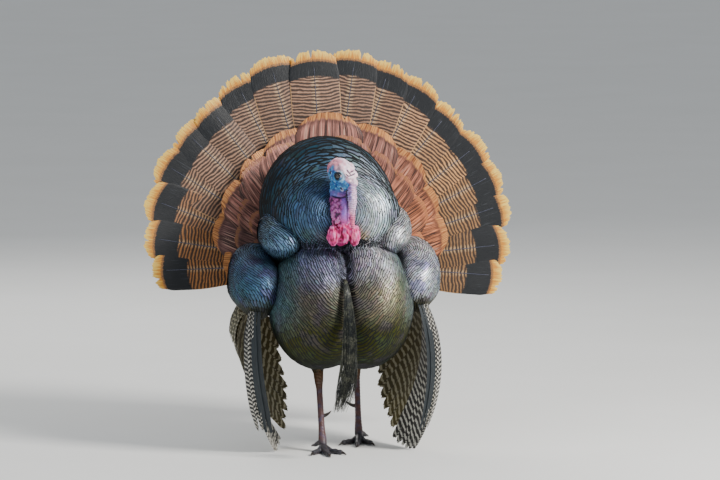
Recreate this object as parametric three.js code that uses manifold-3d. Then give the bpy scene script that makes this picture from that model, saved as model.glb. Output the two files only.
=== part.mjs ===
// A life-size wild turkey gobbler in full strut: tail fanned, wings lowered to the ground, head drawn back.
// Millimetres, +Z up. The bird faces -Y, its left side is +X, and the floor is z = 0.
import * as THREE from "three";
import { mergeVertices } from "three/addons/utils/BufferGeometryUtils.js";
import Module from "manifold-3d";

const wasm = await Module();
wasm.setup();

// Driving dimensions.
const gap = 0.4; // air between neighbouring pieces
const bodyCentre = [0, 0, 373]; // every reach of the feathered body is measured from here
const lobeBlend = 18; // higher makes the creases between the body's lobes sharper
const fanHub = [2, 178, 357]; // where the tail feathers' shafts meet
const fanTilt = { lean: 8, roll: 2.2 };
const fan = { forward: 0, spread: 98.2, feathers: 18, rise: 66, radius: 377, inner: 60 };
const coverts = { forward: 26, spread: 94, feathers: 12, rise: 80, radius: 231, inner: 60 };
const tarsus = { hock: 10.5, shaft: 6.8, ankle: 8.5 };
const vaneThickness = 2.4;

// The feathered body is a blend of these lobes: each is an ellipsoid, or a pair that stands apart.
const lobes = [
  { name: "breast", at: [4, -70, 304], apart: 45, radii: [102, 136, 132] },
  { name: "crop", at: [-2, -46, 480], apart: 38, radii: [90, 112, 84] },
  { name: "nape", at: [-8, -24, 490], apart: 0, radii: [96, 90, 88] },
  { name: "mantle", at: [-13, 62, 486], apart: 0, radii: [134, 118, 146] },
  { name: "rump", at: [0, 92, 335], apart: 0, radii: [118, 124, 112] },
  { name: "belly", at: [0, 15, 275], apart: 0, radii: [120, 118, 102] },
];

// The wings hang a little differently: how far out and up each one is set, and how far its tips are spread.
const wings = {
  right: { side: -1, out: 8, lift: 0, tips: 0 },
  left: { side: 1, out: -4, lift: 12, tips: 28 },
};

const vector = (p) => new THREE.Vector3(...p);
const mix = THREE.MathUtils.lerp;
const radians = THREE.MathUtils.degToRad;

// --- closed meshes and solids ---

function solid(geometry) {
  const bare = geometry.index ? geometry.toNonIndexed() : geometry.clone();
  bare.deleteAttribute("normal");
  bare.deleteAttribute("uv");
  const merged = mergeVertices(bare, 1e-3);
  const mesh = new wasm.Mesh({
    numProp: 3,
    vertProperties: merged.attributes.position.array,
    triVerts: new Uint32Array(merged.index.array),
  });
  const made = new wasm.Manifold(mesh);
  return made.volume() < 0 ? turnedOut(merged) : made;
}

function turnedOut(merged) {
  const turned = new Uint32Array(merged.index.array);
  for (let i = 0; i < turned.length; i += 3) [turned[i + 1], turned[i + 2]] = [turned[i + 2], turned[i + 1]];
  return new wasm.Manifold(
    new wasm.Mesh({ numProp: 3, vertProperties: merged.attributes.position.array, triVerts: turned }),
  );
}

function closedMesh(points, faces) {
  const geometry = new THREE.BufferGeometry();
  geometry.setAttribute("position", new THREE.Float32BufferAttribute(points.flat(), 3));
  geometry.setIndex(faces.flat());
  return geometry;
}

const union = (solids) => solids.reduce((a, b) => a.add(b));
const largest = (s) => s.decompose().reduce((a, b) => (a.volume() > b.volume() ? a : b));

// What is left of a piece where the others, each drawn a gap larger, are cut away.
const clearOf = (piece, others) => largest(others.reduce((a, b) => a.subtract(b), piece));

// A round body carried along a smooth path: each station is a centre with its half-width, which lies
// along the side axis, and its half-height.
function loft(stations, sides, steps, grow, sideAxis = [1, 0, 0]) {
  const path = new THREE.CatmullRomCurve3(stations.map((s) => vector(s.at)), false, "centripetal");
  const count = (stations.length - 1) * steps;
  const rings = [];
  for (let i = 0; i <= count; i++) {
    const place = i / steps;
    const k = Math.min(Math.floor(place), stations.length - 2);
    const share = place - k;
    const ease = share * share * (3 - 2 * share);
    const wide = mix(stations[k].wide, stations[k + 1].wide, ease) + grow;
    const high = mix(stations[k].high, stations[k + 1].high, ease) + grow;
    const t = place / (stations.length - 1);
    const along = path.getTangent(t);
    const across = new THREE.Vector3().crossVectors(along, vector(sideAxis)).normalize();
    const other = new THREE.Vector3().crossVectors(across, along).normalize();
    const centre = path.getPoint(t);
    if (grow > 0 && i === 0) centre.addScaledVector(along, -grow);
    if (grow > 0 && i === count) centre.addScaledVector(along, grow);
    rings.push(
      Array.from({ length: sides }, (_, j) => {
        const angle = (2 * Math.PI * j) / sides;
        return centre
          .clone()
          .addScaledVector(other, Math.cos(angle) * wide)
          .addScaledVector(across, Math.sin(angle) * high)
          .toArray();
      }),
    );
  }
  return solid(closedMesh(rings.flat(), tubeFaces(rings.length, sides)));
}

function tubeFaces(ringCount, sides) {
  const faces = [];
  for (let i = 0; i < ringCount - 1; i++)
    for (let j = 0; j < sides; j++) {
      const a = i * sides + j;
      const b = i * sides + ((j + 1) % sides);
      faces.push([a, b, b + sides], [a, b + sides, a + sides]);
    }
  const last = (ringCount - 1) * sides;
  for (let j = 1; j < sides - 1; j++) faces.push([0, j + 1, j], [last, last + j, last + j + 1]);
  return faces;
}

// An ellipsoid from a three.js sphere.
function egg(centre, radii, grow = 0, segments = [10, 6]) {
  const geometry = new THREE.SphereGeometry(1, ...segments);
  geometry.scale(...radii.map((r) => r + grow));
  geometry.translate(...centre);
  return solid(geometry);
}

// A closed plate around the surface at(u, v), half of its thickness to each side.
function plate(columns, rows, at, thickness) {
  const grid = columns.map((u) => rows.map((v) => at(u, v)));
  const clampIndex = (i, list) => Math.max(0, Math.min(list.length - 1, i));
  const pick = (i, j) => grid[clampIndex(i, columns)][clampIndex(j, rows)];
  const front = [];
  const back = [];
  columns.forEach((_, i) =>
    rows.forEach((__, j) => {
      const alongU = pick(i + 1, j).clone().sub(pick(i - 1, j));
      const alongV = pick(i, j + 1).clone().sub(pick(i, j - 1));
      const normal = alongU.cross(alongV).normalize().multiplyScalar(thickness / 2);
      front.push(pick(i, j).clone().add(normal).toArray());
      back.push(pick(i, j).clone().sub(normal).toArray());
    }),
  );
  const m = rows.length;
  const n = columns.length;
  const offset = n * m;
  const faces = [];
  for (let i = 0; i < n - 1; i++)
    for (let j = 0; j < m - 1; j++) {
      const [a, b, c, d] = [i * m + j, (i + 1) * m + j, (i + 1) * m + j + 1, i * m + j + 1];
      faces.push([a, b, c], [a, c, d]);
      faces.push([offset + a, offset + c, offset + b], [offset + a, offset + d, offset + c]);
    }
  const rim = [];
  for (let i = 0; i < n - 1; i++) rim.push(i * m);
  for (let j = 0; j < m - 1; j++) rim.push((n - 1) * m + j);
  for (let i = n - 1; i > 0; i--) rim.push(i * m + m - 1);
  for (let j = m - 1; j > 0; j--) rim.push(j);
  rim.forEach((a, k) => {
    const b = rim[(k + 1) % rim.length];
    faces.push([a, offset + a, offset + b], [a, offset + b, b]);
  });
  return solid(closedMesh([...front, ...back], faces));
}

// --- the feathered body ---

// How far a ray from the body's centre goes before it leaves an ellipsoid.
function reachOf(lobe, side, direction, grow) {
  const radii = lobe.radii.map((r) => r + grow);
  const centre = [lobe.at[0] + side * lobe.apart, lobe.at[1], lobe.at[2]];
  const from = bodyCentre.map((c, i) => (c - centre[i]) / radii[i]);
  const ray = direction.map((d, i) => d / radii[i]);
  const a = ray.reduce((sum, r) => sum + r * r, 0);
  const b = ray.reduce((sum, r, i) => sum + r * from[i], 0);
  const c = from.reduce((sum, f) => sum + f * f, 0) - 1;
  return Math.max(0, (-b + Math.sqrt(Math.max(0, b * b - a * c))) / a);
}

function bodyReach(direction, grow) {
  const reaches = lobes.flatMap((lobe) =>
    (lobe.apart > 0 ? [1, -1] : [1]).map((side) => reachOf(lobe, side, direction, grow)),
  );
  return Math.pow(reaches.reduce((sum, r) => sum + Math.pow(r, lobeBlend), 0), 1 / lobeBlend);
}

function bodySolid(grow = 0) {
  const geometry = new THREE.SphereGeometry(1, 30, 20);
  geometry.rotateX(Math.PI / 2);
  const place = geometry.attributes.position;
  for (let i = 0; i < place.count; i++) {
    const direction = new THREE.Vector3().fromBufferAttribute(place, i).normalize().toArray();
    const reach = bodyReach(direction, grow);
    place.setXYZ(i, ...direction.map((d, k) => bodyCentre[k] + d * reach));
  }
  return solid(geometry);
}

// --- the tail ---

// Three columns across each feather, the last one just short of the next feather's first.
const featherColumns = (count) =>
  Array.from({ length: count * 3 }, (_, k) => (Math.floor(k / 3) + (k % 3) * 0.492) / count);

// The fan's outer edge is a circle whose middle stands above the hub.
const fanReach = (angle, rise, radius) =>
  rise * Math.cos(angle) + Math.sqrt(radius * radius - rise * rise * Math.sin(angle) ** 2);

function fanSurface(size, u, v) {
  const angle = radians(mix(-size.spread, size.spread, u));
  const across = (u * size.feathers) % 1;
  const tipDrop = 13 * Math.pow(Math.abs(2 * across - 1), 3);
  const shorter = 0.03 * THREE.MathUtils.smoothstep(Math.abs(2 * u - 1), 0.84, 1);
  const reach = mix(size.inner, fanReach(angle, size.rise, size.radius) * (1 - shorter) - tipDrop * v, v);
  const shingle = Math.sign(u - 0.5) * (0.5 - across) * 3.2 * v;
  const cup = 22 * Math.abs(angle / 1.7) ** 2 * v * v;
  const turned = angle + radians(fanTilt.roll);
  const lean = radians(fanTilt.lean);
  const up = reach * Math.cos(turned);
  return new THREE.Vector3(
    fanHub[0] + reach * Math.sin(turned),
    fanHub[1] - size.forward + up * Math.sin(lean) - cup + shingle,
    fanHub[2] + up * Math.cos(lean),
  );
}

const fanSolid = (size, rows, grow = 0) =>
  plate(featherColumns(size.feathers), rows, (u, v) => fanSurface(size, u, v), vaneThickness + 2 * grow);

function undertailSolid(grow = 0) {
  const stations = [
    { at: [2, 150, 238], wide: 26, high: 22 },
    { at: [2, 194, 264], wide: 62, high: 28 },
    { at: [2, 211, 340], wide: 82, high: 24 },
    { at: [2, 213, 430], wide: 76, high: 15 },
    { at: [2, 218, 500], wide: 36, high: 5 },
  ];
  return loft(stations, 12, 1, grow);
}

// --- the wings ---

const onWing = (wing, [x, y, z]) => [wing.side * (x + wing.out), y, z + wing.lift];

const wingLoft = (wing, list, grow) =>
  loft(list.map(([x, y, z, wide, high]) => ({ at: onWing(wing, [x, y, z]), wide, high })), 10, 1, grow);

const shoulderSolid = (wing, grow = 0) =>
  wingLoft(wing, [
    [112, -134, 424, 10, 12],
    [117, -119, 426, 29, 31],
    [119, -90, 429, 40, 43],
    [120, -30, 432, 43, 46],
    [112, 50, 440, 36, 40],
    [104, 96, 444, 20, 24],
    [100, 112, 446, 8, 10],
  ], grow);

const wingArmSolid = (wing, grow = 0) =>
  wingLoft(wing, [
    [154, -131, 334, 13, 17],
    [159, -114, 335, 35, 44],
    [163, -84, 337, 48, 61],
    [166, -20, 341, 52, 68],
    [157, 62, 350, 44, 62],
    [147, 108, 359, 26, 40],
    [142, 126, 362, 9, 14],
  ], grow);

// The lines that each sheet of flight feathers hangs between, from the front feather to the hindmost.
const primaries = {
  roots: [[182, -86, 276], [180, -52, 280], [174, -14, 286]],
  bulges: [[222, -98, 130], [218, -30, 140], [200, 34, 150]],
  tips: [[130, -66, -4], [120, -18, -3], [104, 34, 10]],
  feathers: 6,
};
const secondaries = {
  roots: [[174, -8, 288], [172, 40, 298], [158, 80, 314], [142, 108, 330]],
  bulges: [[214, 40, 165], [206, 106, 195], [184, 160, 230], [156, 184, 275]],
  tips: [[98, 40, 22], [86, 100, 76], [88, 160, 146], [106, 204, 236]],
  feathers: 8,
};

// A bent sheet of flight feathers between a root line and a tip line, bulging out between them.
function flightSheet(wing, { roots, bulges, tips, feathers }, grow = 0) {
  const tipsOut = ([x, y, z], k) => [x + wing.tips * (1 - (0.4 * k) / (tips.length - 1)), y, z - wing.lift];
  const line = (points) => new THREE.CatmullRomCurve3(points.map((point) => vector(onWing(wing, point))));
  const [rootLine, bulgeLine, tipLine] = [line(roots), line(bulges), line(tips.map(tipsOut))];
  return plate(
    featherColumns(feathers),
    [0, 0.4, 0.75, 1],
    (u, v) => {
      const across = (u * feathers) % 1;
      const [root, bulge, tip] = [rootLine, bulgeLine, tipLine].map((edge) => edge.getPoint(u));
      const feather = new THREE.QuadraticBezierCurve3(root, bulge, tip);
      const tipDrop = 0.035 * Math.pow(Math.abs(2 * across - 1), 3);
      const point = feather.getPoint(v * (1 - tipDrop * v));
      point.x += wing.side * (across - 0.5) * 2.4 * v;
      return point;
    },
    vaneThickness + 2 * grow,
  );
}

// --- head and neck ---

const head = { centre: [-1.5, -148, 572], yaw: 38, pitch: 44 };
const headTurn = new THREE.Euler(radians(head.pitch), 0, radians(head.yaw), "ZYX");
const headSide = vector([1, 0, 0]).applyEuler(headTurn).toArray();

// A point given along the head's own axes: forward to the bill, left, and up.
const onHead = (forward, left, up) =>
  vector([left, -forward, up]).applyEuler(headTurn).add(vector(head.centre)).toArray();

function headLoft(list, sides, grow) {
  const stations = list.map(([forward, up, wide, high]) => ({ at: onHead(forward, 0, up), wide, high }));
  return loft(stations, sides, 1, grow, headSide);
}

const skullSolid = (grow = 0) =>
  headLoft([
    [-40, -4, 8, 9],
    [-32, -2, 18, 19],
    [-14, 1, 24, 26],
    [4, 1, 24.5, 27],
    [20, -3, 19, 21],
    [30, -6, 13.5, 15],
    [34, -8, 10, 12],
  ], 10, grow);
const upperBillSolid = (grow = 0) =>
  headLoft([[28, -6, 9.5, 9], [44, -9, 8, 7.5], [56, -14, 5.5, 5.5], [66, -22, 1.4, 1.8]], 8, grow);
const lowerBillSolid = (grow = 0) =>
  headLoft([[26, -18, 8.5, 5], [42, -19, 7, 4], [53, -22, 4.5, 3], [59, -25, 1.3, 1.3]], 8, grow);
const eyeSolid = (side, grow = 0) => egg(onHead(6, side * 20.5, 7), [6.2, 6.2, 6.2], grow);

function neckSolid(grow = 0) {
  const stations = [
    { at: [-5, -126, 570], wide: 18, high: 18 },
    { at: [-5, -138, 544], wide: 22, high: 22 },
    { at: [-5, -147, 514], wide: 22.5, high: 22 },
    { at: [-5, -150, 480], wide: 21.5, high: 20 },
    { at: [-4, -140, 446], wide: 19, high: 16 },
  ];
  return loft(stations, 10, 1, grow);
}

function snoodSolid(grow = 0) {
  const stations = [
    { at: onHead(20, 1, 16), wide: 5, high: 5 },
    { at: onHead(33, 3, 14), wide: 8, high: 7 },
    { at: [17, -187, 545], wide: 9, high: 8 },
    { at: [17, -190, 526], wide: 9, high: 8 },
    { at: [16, -190, 506], wide: 6.2, high: 6 },
    { at: [15, -189, 489], wide: 5.2, high: 5.2 },
    { at: [14.5, -188, 477], wide: 2.6, high: 2.6 },
  ];
  return loft(stations, 8, 1, grow);
}

const wattleSolid = (grow = 0) =>
  union([
    egg([-21.5, -165, 455], [14, 15, 21], grow),
    egg([1, -169, 451], [13, 13, 18], grow),
    egg([19, -167, 455], [12.5, 14, 21], grow),
  ]);

function beardSolid(grow = 0) {
  const stations = [
    { at: [-1, -186, 366], wide: 5, high: 5 },
    { at: [2, -210, 322], wide: 9, high: 6 },
    { at: [6, -220, 250], wide: 15, high: 8 },
    { at: [3, -217, 180], wide: 18, high: 8 },
    { at: [-8, -210, 132], wide: 14, high: 6 },
    { at: [-16, -206, 104], wide: 5, high: 2 },
  ];
  return loft(stations, 8, 2, grow);
}

// --- legs ---

const legs = {
  right: { foot: [-33, -74, 0], hock: [-35, -8, 152], hip: [-50, 20, 250], side: -1, turn: 4 },
  left: { foot: [57, 62, 0], hock: [57, 112, 158], hip: [62, 60, 258], side: 1, turn: -10 },
};
const ankleHeight = 20;
const toes = [
  { name: "inner", angle: 34, length: 50, start: 7 },
  { name: "middle", angle: 0, length: 70, start: 7.4 },
  { name: "outer", angle: -36, length: 53, start: 7 },
];

const ankle = (leg) => [leg.foot[0], leg.foot[1] + 6, ankleHeight];

const thighSolid = (leg, grow = 0) => {
  const [hip, hock] = [vector(leg.hip), vector(leg.hock)];
  const between = (t) => hip.clone().lerp(hock, t).toArray();
  const stations = [
    { at: between(0), wide: 40, high: 44 },
    { at: between(0.4), wide: 30, high: 34 },
    { at: between(0.75), wide: 15, high: 17 },
    { at: between(0.94), wide: 9.5, high: 11 },
  ];
  return loft(stations, 10, 1, grow);
};

const shankSolid = (leg, grow = 0) => {
  const [top, low] = [vector(leg.hock), vector(ankle(leg))];
  const between = (t) => top.clone().lerp(low, t).toArray();
  const stations = [
    { at: between(-0.045), wide: tarsus.hock * 0.75, high: tarsus.hock * 0.8 },
    { at: between(0.03), wide: tarsus.hock, high: tarsus.hock * 1.15 },
    { at: between(0.2), wide: tarsus.shaft, high: tarsus.shaft * 1.3 },
    { at: between(0.75), wide: tarsus.shaft, high: tarsus.shaft * 1.25 },
    { at: between(1), wide: tarsus.ankle, high: tarsus.ankle },
  ];
  return loft(stations, 8, 1, grow);
};

// A point on a toe's midline: out from the ankle by distance, at an angle from straight ahead.
function toePoint(leg, angle, distance, height) {
  const heading = radians(leg.turn + leg.side * angle);
  const [x, y] = [leg.foot[0] - Math.sin(heading) * -distance, leg.foot[1] - Math.cos(heading) * distance];
  return [x, y, height];
}

function toeSolid(leg, toe, grow = 0) {
  const stations = [
    { at: toePoint(leg, toe.angle, 0, 11), wide: toe.start, high: 9 },
    { at: toePoint(leg, toe.angle, toe.length * 0.34, 5.5), wide: toe.start * 0.86, high: 7 },
    { at: toePoint(leg, toe.angle, toe.length * 0.7, 4.7), wide: toe.start * 0.76, high: 6 },
    { at: toePoint(leg, toe.angle, toe.length, 4.4), wide: 3.6, high: 4 },
  ];
  return loft(stations, 6, 1, grow);
}

const hindToe = { angle: 180 - 24, length: 30 };

function hindToeSolid(leg, grow = 0) {
  const stations = [
    { at: toePoint(leg, hindToe.angle, -2, 24), wide: 5, high: 6 },
    { at: toePoint(leg, hindToe.angle, hindToe.length * 0.6, 17), wide: 4.4, high: 4.6 },
    { at: toePoint(leg, hindToe.angle, hindToe.length, 11), wide: 3, high: 3 },
  ];
  return loft(stations, 6, 1, grow);
}

function clawSolid(leg, angle, from, height, grow = 0) {
  const stations = [
    { at: toePoint(leg, angle, from - 2, height), wide: 2.9, high: 2.9 },
    { at: toePoint(leg, angle, from + 6, height - 0.4), wide: 2.3, high: 2.4 },
    { at: toePoint(leg, angle, from + 13, Math.max(1.5, height - 3.2)), wide: 0.8, high: 0.8 },
  ];
  return loft(stations, 6, 1, grow);
}

// The spur stands on the inner back of the shank, a third of the way up.
function spurSolid(leg, grow = 0) {
  const root = vector(leg.hock).lerp(vector(ankle(leg)), 0.6);
  const out = (back, inward, up) => root.clone().add(vector([-leg.side * inward, back, up])).toArray();
  const stations = [
    { at: out(2, 3, -2), wide: 4.6, high: 4.6 },
    { at: out(11, 12, 0), wide: 3.8, high: 3.8 },
    { at: out(18, 24, 6), wide: 0.9, high: 0.9 },
  ];
  return loft(stations, 6, 1, grow);
}

// --- assembly ---

const looks = {
  plumage: { color: 0x4a4438, roughness: 0.4, metalness: 0.5 },
  mantle: { color: 0x16303c, roughness: 0.4, metalness: 0.4 },
  tail: { color: 0x8a5a34, roughness: 0.6, metalness: 0 },
  coverts: { color: 0x7a4632, roughness: 0.5, metalness: 0.2 },
  flight: { color: 0x5a564c, roughness: 0.6, metalness: 0 },
  beard: { color: 0x2a2c2a, roughness: 0.7, metalness: 0 },
  skin: { color: 0xc0a8b8, roughness: 0.6, metalness: 0 },
  caruncle: { color: 0xc8505f, roughness: 0.5, metalness: 0 },
  bill: { color: 0xc0a888, roughness: 0.4, metalness: 0 },
  eye: { color: 0x1a120c, roughness: 0.1, metalness: 0 },
  leg: { color: 0x9a6070, roughness: 0.6, metalness: 0 },
  claw: { color: 0x2c2420, roughness: 0.4, metalness: 0 },
};

const turkey = new THREE.Group();

function addPiece(name, piece, look) {
  const raw = piece.getMesh();
  const geometry = new THREE.BufferGeometry();
  const places = new Float32Array(raw.numVert * 3);
  for (let i = 0; i < raw.numVert; i++)
    places.set(raw.vertProperties.subarray(i * raw.numProp, i * raw.numProp + 3), i * 3);
  geometry.setAttribute("position", new THREE.BufferAttribute(places, 3));
  geometry.setIndex(new THREE.BufferAttribute(raw.triVerts, 1));
  geometry.computeVertexNormals();
  const mesh = new THREE.Mesh(geometry, new THREE.MeshStandardMaterial(looks[look]));
  mesh.name = name;
  turkey.add(mesh);
}

const onFloor = (piece) => piece.trimByPlane([0, 0, 1], 0);

function addHead() {
  const eyes = [eyeSolid(-1, gap), eyeSolid(1, gap)];
  const bills = [upperBillSolid(gap), lowerBillSolid(gap)];
  const soft = [wattleSolid(gap), snoodSolid(gap)];
  const skull = skullSolid(gap);
  addPiece("head", clearOf(skullSolid(), eyes), "skin");
  addPiece("eye_right", eyeSolid(-1), "eye");
  addPiece("eye_left", eyeSolid(1), "eye");
  addPiece("wattle", wattleSolid(), "caruncle");
  addPiece("snood", clearOf(snoodSolid(), [skull, soft[0]]), "caruncle");
  addPiece("bill_upper", clearOf(upperBillSolid(), [skull, soft[1]]), "bill");
  addPiece("bill_lower", clearOf(lowerBillSolid(), [skull, soft[1], bills[0]]), "bill");
  addPiece("neck", clearOf(neckSolid(), [skull, ...soft, ...bills, ...eyes]), "skin");
}

// Everything that the body's feathers close round, each drawn a gap larger.
const headRoom = () => [
  ...[skullSolid, neckSolid, wattleSolid, snoodSolid, beardSolid].map((make) => make(gap)),
  ...[1, -1].map((side) => eyeSolid(side, gap)),
];

function addBody() {
  const whole = clearOf(bodySolid(), headRoom());
  const crease = { height: 436, split: 14 };
  const cut = (s, normal, at) => s.trimByPlane(normal, at + gap / 2);
  const upper = cut(whole, [0, 0, 1], crease.height);
  const lower = cut(whole, [0, 0, -1], -crease.height);
  addPiece("crop", largest(cut(upper, [0, -1, 0], -crease.split)), "plumage");
  addPiece("mantle", largest(cut(upper, [0, 1, 0], crease.split)), "mantle");
  addPiece("breast", largest(cut(lower, [0, -1, 0], -crease.split)), "plumage");
  addPiece("rump", largest(cut(lower, [0, 1, 0], crease.split)), "plumage");
  addPiece("beard", clearOf(beardSolid(), [wattleSolid(gap)]), "beard");
}

function addTail() {
  const rows = [0, 0.55, 1];
  const inBody = bodySolid(gap);
  addPiece("tail_coverts", clearOf(fanSolid(coverts, rows), [inBody]), "coverts");
  addPiece("tail_feathers", clearOf(fanSolid(fan, rows), [inBody]), "tail");
  addPiece("undertail", clearOf(undertailSolid(), [inBody, fanSolid(fan, rows, gap)]), "coverts");
}

function addWings() {
  const inBody = bodySolid(gap);
  const tailRoom = [fanSolid(fan, [0, 1], 6), fanSolid(coverts, [0, 1], 6)];
  for (const [side, wing] of Object.entries(wings)) {
    const room = { shoulder: shoulderSolid(wing, gap), arm: wingArmSolid(wing, gap) };
    // Each piece with its look and the neighbours, drawn a gap larger, that it is cut clear of.
    const parts = {
      shoulder: [shoulderSolid(wing), "plumage", []],
      arm: [wingArmSolid(wing), "plumage", [room.shoulder]],
      primaries: [onFloor(flightSheet(wing, primaries)), "flight", [room.arm]],
      secondaries: [flightSheet(wing, secondaries), "flight", [room.arm, flightSheet(wing, primaries, gap)]],
    };
    for (const [part, [piece, look, others]] of Object.entries(parts))
      addPiece(`wing_${side}_${part}`, clearOf(piece, [inBody, ...tailRoom, ...others]), look);
  }
}

function addLegs() {
  const inBody = bodySolid(gap);
  for (const [side, leg] of Object.entries(legs)) {
    const foreClaws = toes.map((toe) => [toe.name, toe.angle, toe.length, 4.4]);
    const claws = [...foreClaws, ["hind", hindToe.angle, hindToe.length, 11]];
    const foreToes = (grow) => toes.map((toe) => toeSolid(leg, toe, grow));
    const footParts = (grow) => union([...foreToes(grow), hindToeSolid(leg, grow)]);
    addPiece("foot_" + side, onFloor(largest(footParts(0))), "leg");
    addPiece("shank_" + side, clearOf(shankSolid(leg), [footParts(gap)]), "leg");
    addPiece("thigh_" + side, clearOf(thighSolid(leg), [inBody, shankSolid(leg, gap)]), "plumage");
    addPiece("spur_" + side, clearOf(spurSolid(leg), [shankSolid(leg, gap)]), "claw");
    for (const [name, angle, from, height] of claws) {
      const claw = onFloor(clawSolid(leg, angle, from, height));
      addPiece(`claw_${side}_${name}`, clearOf(claw, [footParts(gap)]), "claw");
    }
  }
}

addHead();
addBody();
addTail();
addWings();
addLegs();

// The middle of the model's box stands on the origin.
const middle = new THREE.Box3().setFromObject(turkey).getCenter(new THREE.Vector3());
turkey.position.set(-middle.x, -middle.y, 0);

export default turkey;
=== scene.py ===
import bpy
import numpy as np
from mathutils import Matrix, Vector
from mathutils.kdtree import KDTree


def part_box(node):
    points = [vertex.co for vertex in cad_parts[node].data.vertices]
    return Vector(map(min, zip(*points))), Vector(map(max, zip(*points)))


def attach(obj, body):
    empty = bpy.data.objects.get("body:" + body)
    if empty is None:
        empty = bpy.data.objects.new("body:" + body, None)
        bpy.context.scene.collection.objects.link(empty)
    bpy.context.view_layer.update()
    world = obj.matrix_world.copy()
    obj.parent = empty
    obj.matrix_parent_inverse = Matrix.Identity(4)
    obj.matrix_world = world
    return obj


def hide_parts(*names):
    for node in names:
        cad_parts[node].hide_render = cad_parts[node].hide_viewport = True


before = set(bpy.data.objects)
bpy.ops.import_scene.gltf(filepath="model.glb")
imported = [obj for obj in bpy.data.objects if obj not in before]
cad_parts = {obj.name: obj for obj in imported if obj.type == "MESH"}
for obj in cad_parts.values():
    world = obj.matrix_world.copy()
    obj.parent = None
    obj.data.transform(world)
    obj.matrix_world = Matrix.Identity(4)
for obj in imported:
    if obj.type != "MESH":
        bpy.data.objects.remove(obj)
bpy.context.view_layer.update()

# A wild turkey gobbler in full strut. Places are in millimetres in the bird's own frame: it faces -Y, its
# left side is +X, and z = 0 is the floor. inFrame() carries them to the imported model's place, in metres.


# numbers and small formulas

def smooth(low, high, x):  # 0 below low, 1 above high, and 3t^2 - 2t^3 between
    t = np.clip((x - low) / (high - low), 0, 1)
    return t * t * (3 - 2 * t)


def mix(a, b, t):
    return a + (b - a) * t


def unit(v):
    return v / np.maximum(np.linalg.norm(v, axis=-1, keepdims=True), 1e-9)


def paint(red, green, blue):  # a colour as it shows on a screen, 0 to 255, turned into linear light
    c = np.array([red, green, blue]) / 255
    return np.where(c < 0.04045, c / 12.92, ((c + 0.055) / 1.055) ** 2.4)


def curve(stations, place):  # the Catmull-Rom line through the stations; place runs from 0 to 1
    stations = np.asarray(stations, float)
    place = np.asarray(place, float) * (len(stations) - 1)
    k = np.clip(place.astype(int), 0, len(stations) - 2)
    t = (place - k)[..., None]
    ends = np.vstack([2 * stations[0] - stations[1], stations, 2 * stations[-1] - stations[-2]])
    a, b, c, d = (ends[k + i] for i in range(4))
    bend = (2 * a - 5 * b + 4 * c - d) * t**2 + (3 * b - a - 3 * c + d) * t**3
    return 0.5 * (2 * b + (c - a) * t + bend)


def ripple(points, size, seed, waves=9):  # the mean of sine waves that run in random directions, about -1 to 1
    draw = np.random.default_rng(seed)
    ways = unit(draw.normal(size=(waves, 3))) * (2 * np.pi / size) * draw.uniform(0.6, 1.5, (waves, 1))
    phase = draw.uniform(0, 2 * np.pi, waves)
    return np.sin(points @ ways.T + phase).mean(-1) * np.sqrt(2 * waves) / 2.4


def knobs(points, centres, radius):  # a round bump 1 - (distance / radius)^2 on each centre, the highest wins
    high = np.zeros(len(points))
    batch = 4000  # points at a time, to spare memory
    for part in np.array_split(np.arange(len(points)), max(1, len(points) // batch)):
        squared = ((points[part, None, :] - centres[None]) ** 2).sum(-1)
        high[part] = np.clip(1 - squared / radius**2, 0, None).max(1)
    return high


def bell(x, middle, wide):  # 1 at the middle, falling off as e to the minus square to each side
    return np.exp(-(((x - middle) / wide) ** 2))


def far(points, place):
    return np.linalg.norm(points - np.array(place, float), axis=-1)


def columnsOf(points):  # x, y and z, each kept as a column
    return (points[..., i : i + 1] for i in range(3))


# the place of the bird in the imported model

headSet = {"centre": (-1.5, -148, 572), "yaw": 38, "pitch": 44, "eye": (6, 20.5, 7), "eyeRadius": 6.2}


def onHead(forward, left, up):  # a point given along the head's own axes, turned by pitch and then by yaw
    pitch, yaw = np.radians(headSet["pitch"]), np.radians(headSet["yaw"])
    forward, left, up = np.broadcast_arrays(*(np.asarray(v, float) for v in (forward, left, up)))
    y = -forward * np.cos(pitch) - up * np.sin(pitch)
    z = -forward * np.sin(pitch) + up * np.cos(pitch)
    x = left * np.cos(yaw) - y * np.sin(yaw)
    y = left * np.sin(yaw) + y * np.cos(yaw)
    return np.stack([x, y, z], -1) + np.array(headSet["centre"])


headAxes = np.array([onHead(*row) for row in np.eye(3)]) - np.array(headSet["centre"])


def fromHead(points):  # the head's own coordinates of points in the bird's frame
    return (points - np.array(headSet["centre"])) @ headAxes.T


def middleOf(node):
    low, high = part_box(node)
    return (np.array(low) + np.array(high)) / 2 * 1000


def findShift():
    forward, left, up = headSet["eye"]
    modelled = (onHead(forward, left, up) + onHead(forward, -left, up)) / 2
    return (middleOf("eye_right") + middleOf("eye_left")) / 2 - modelled


shift = findShift()


def inFrame(points):
    return (np.asarray(points, float) + shift) * 0.001


# meshes

def addTint(mesh, colours):  # the colour at each point, for the materials
    clear = np.concatenate([colours, np.ones((len(colours), 1))], 1).astype(np.float32)
    mesh.attributes.new("tint", "FLOAT_COLOR", "POINT").data.foreach_set("color", clear.ravel())


def settle(piece, slot, *nodes):  # what the piece rides on; slot, what it is made of, is not used; and the nodes it stands for
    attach(piece, "root")
    if nodes:
        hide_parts(*nodes)


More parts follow.
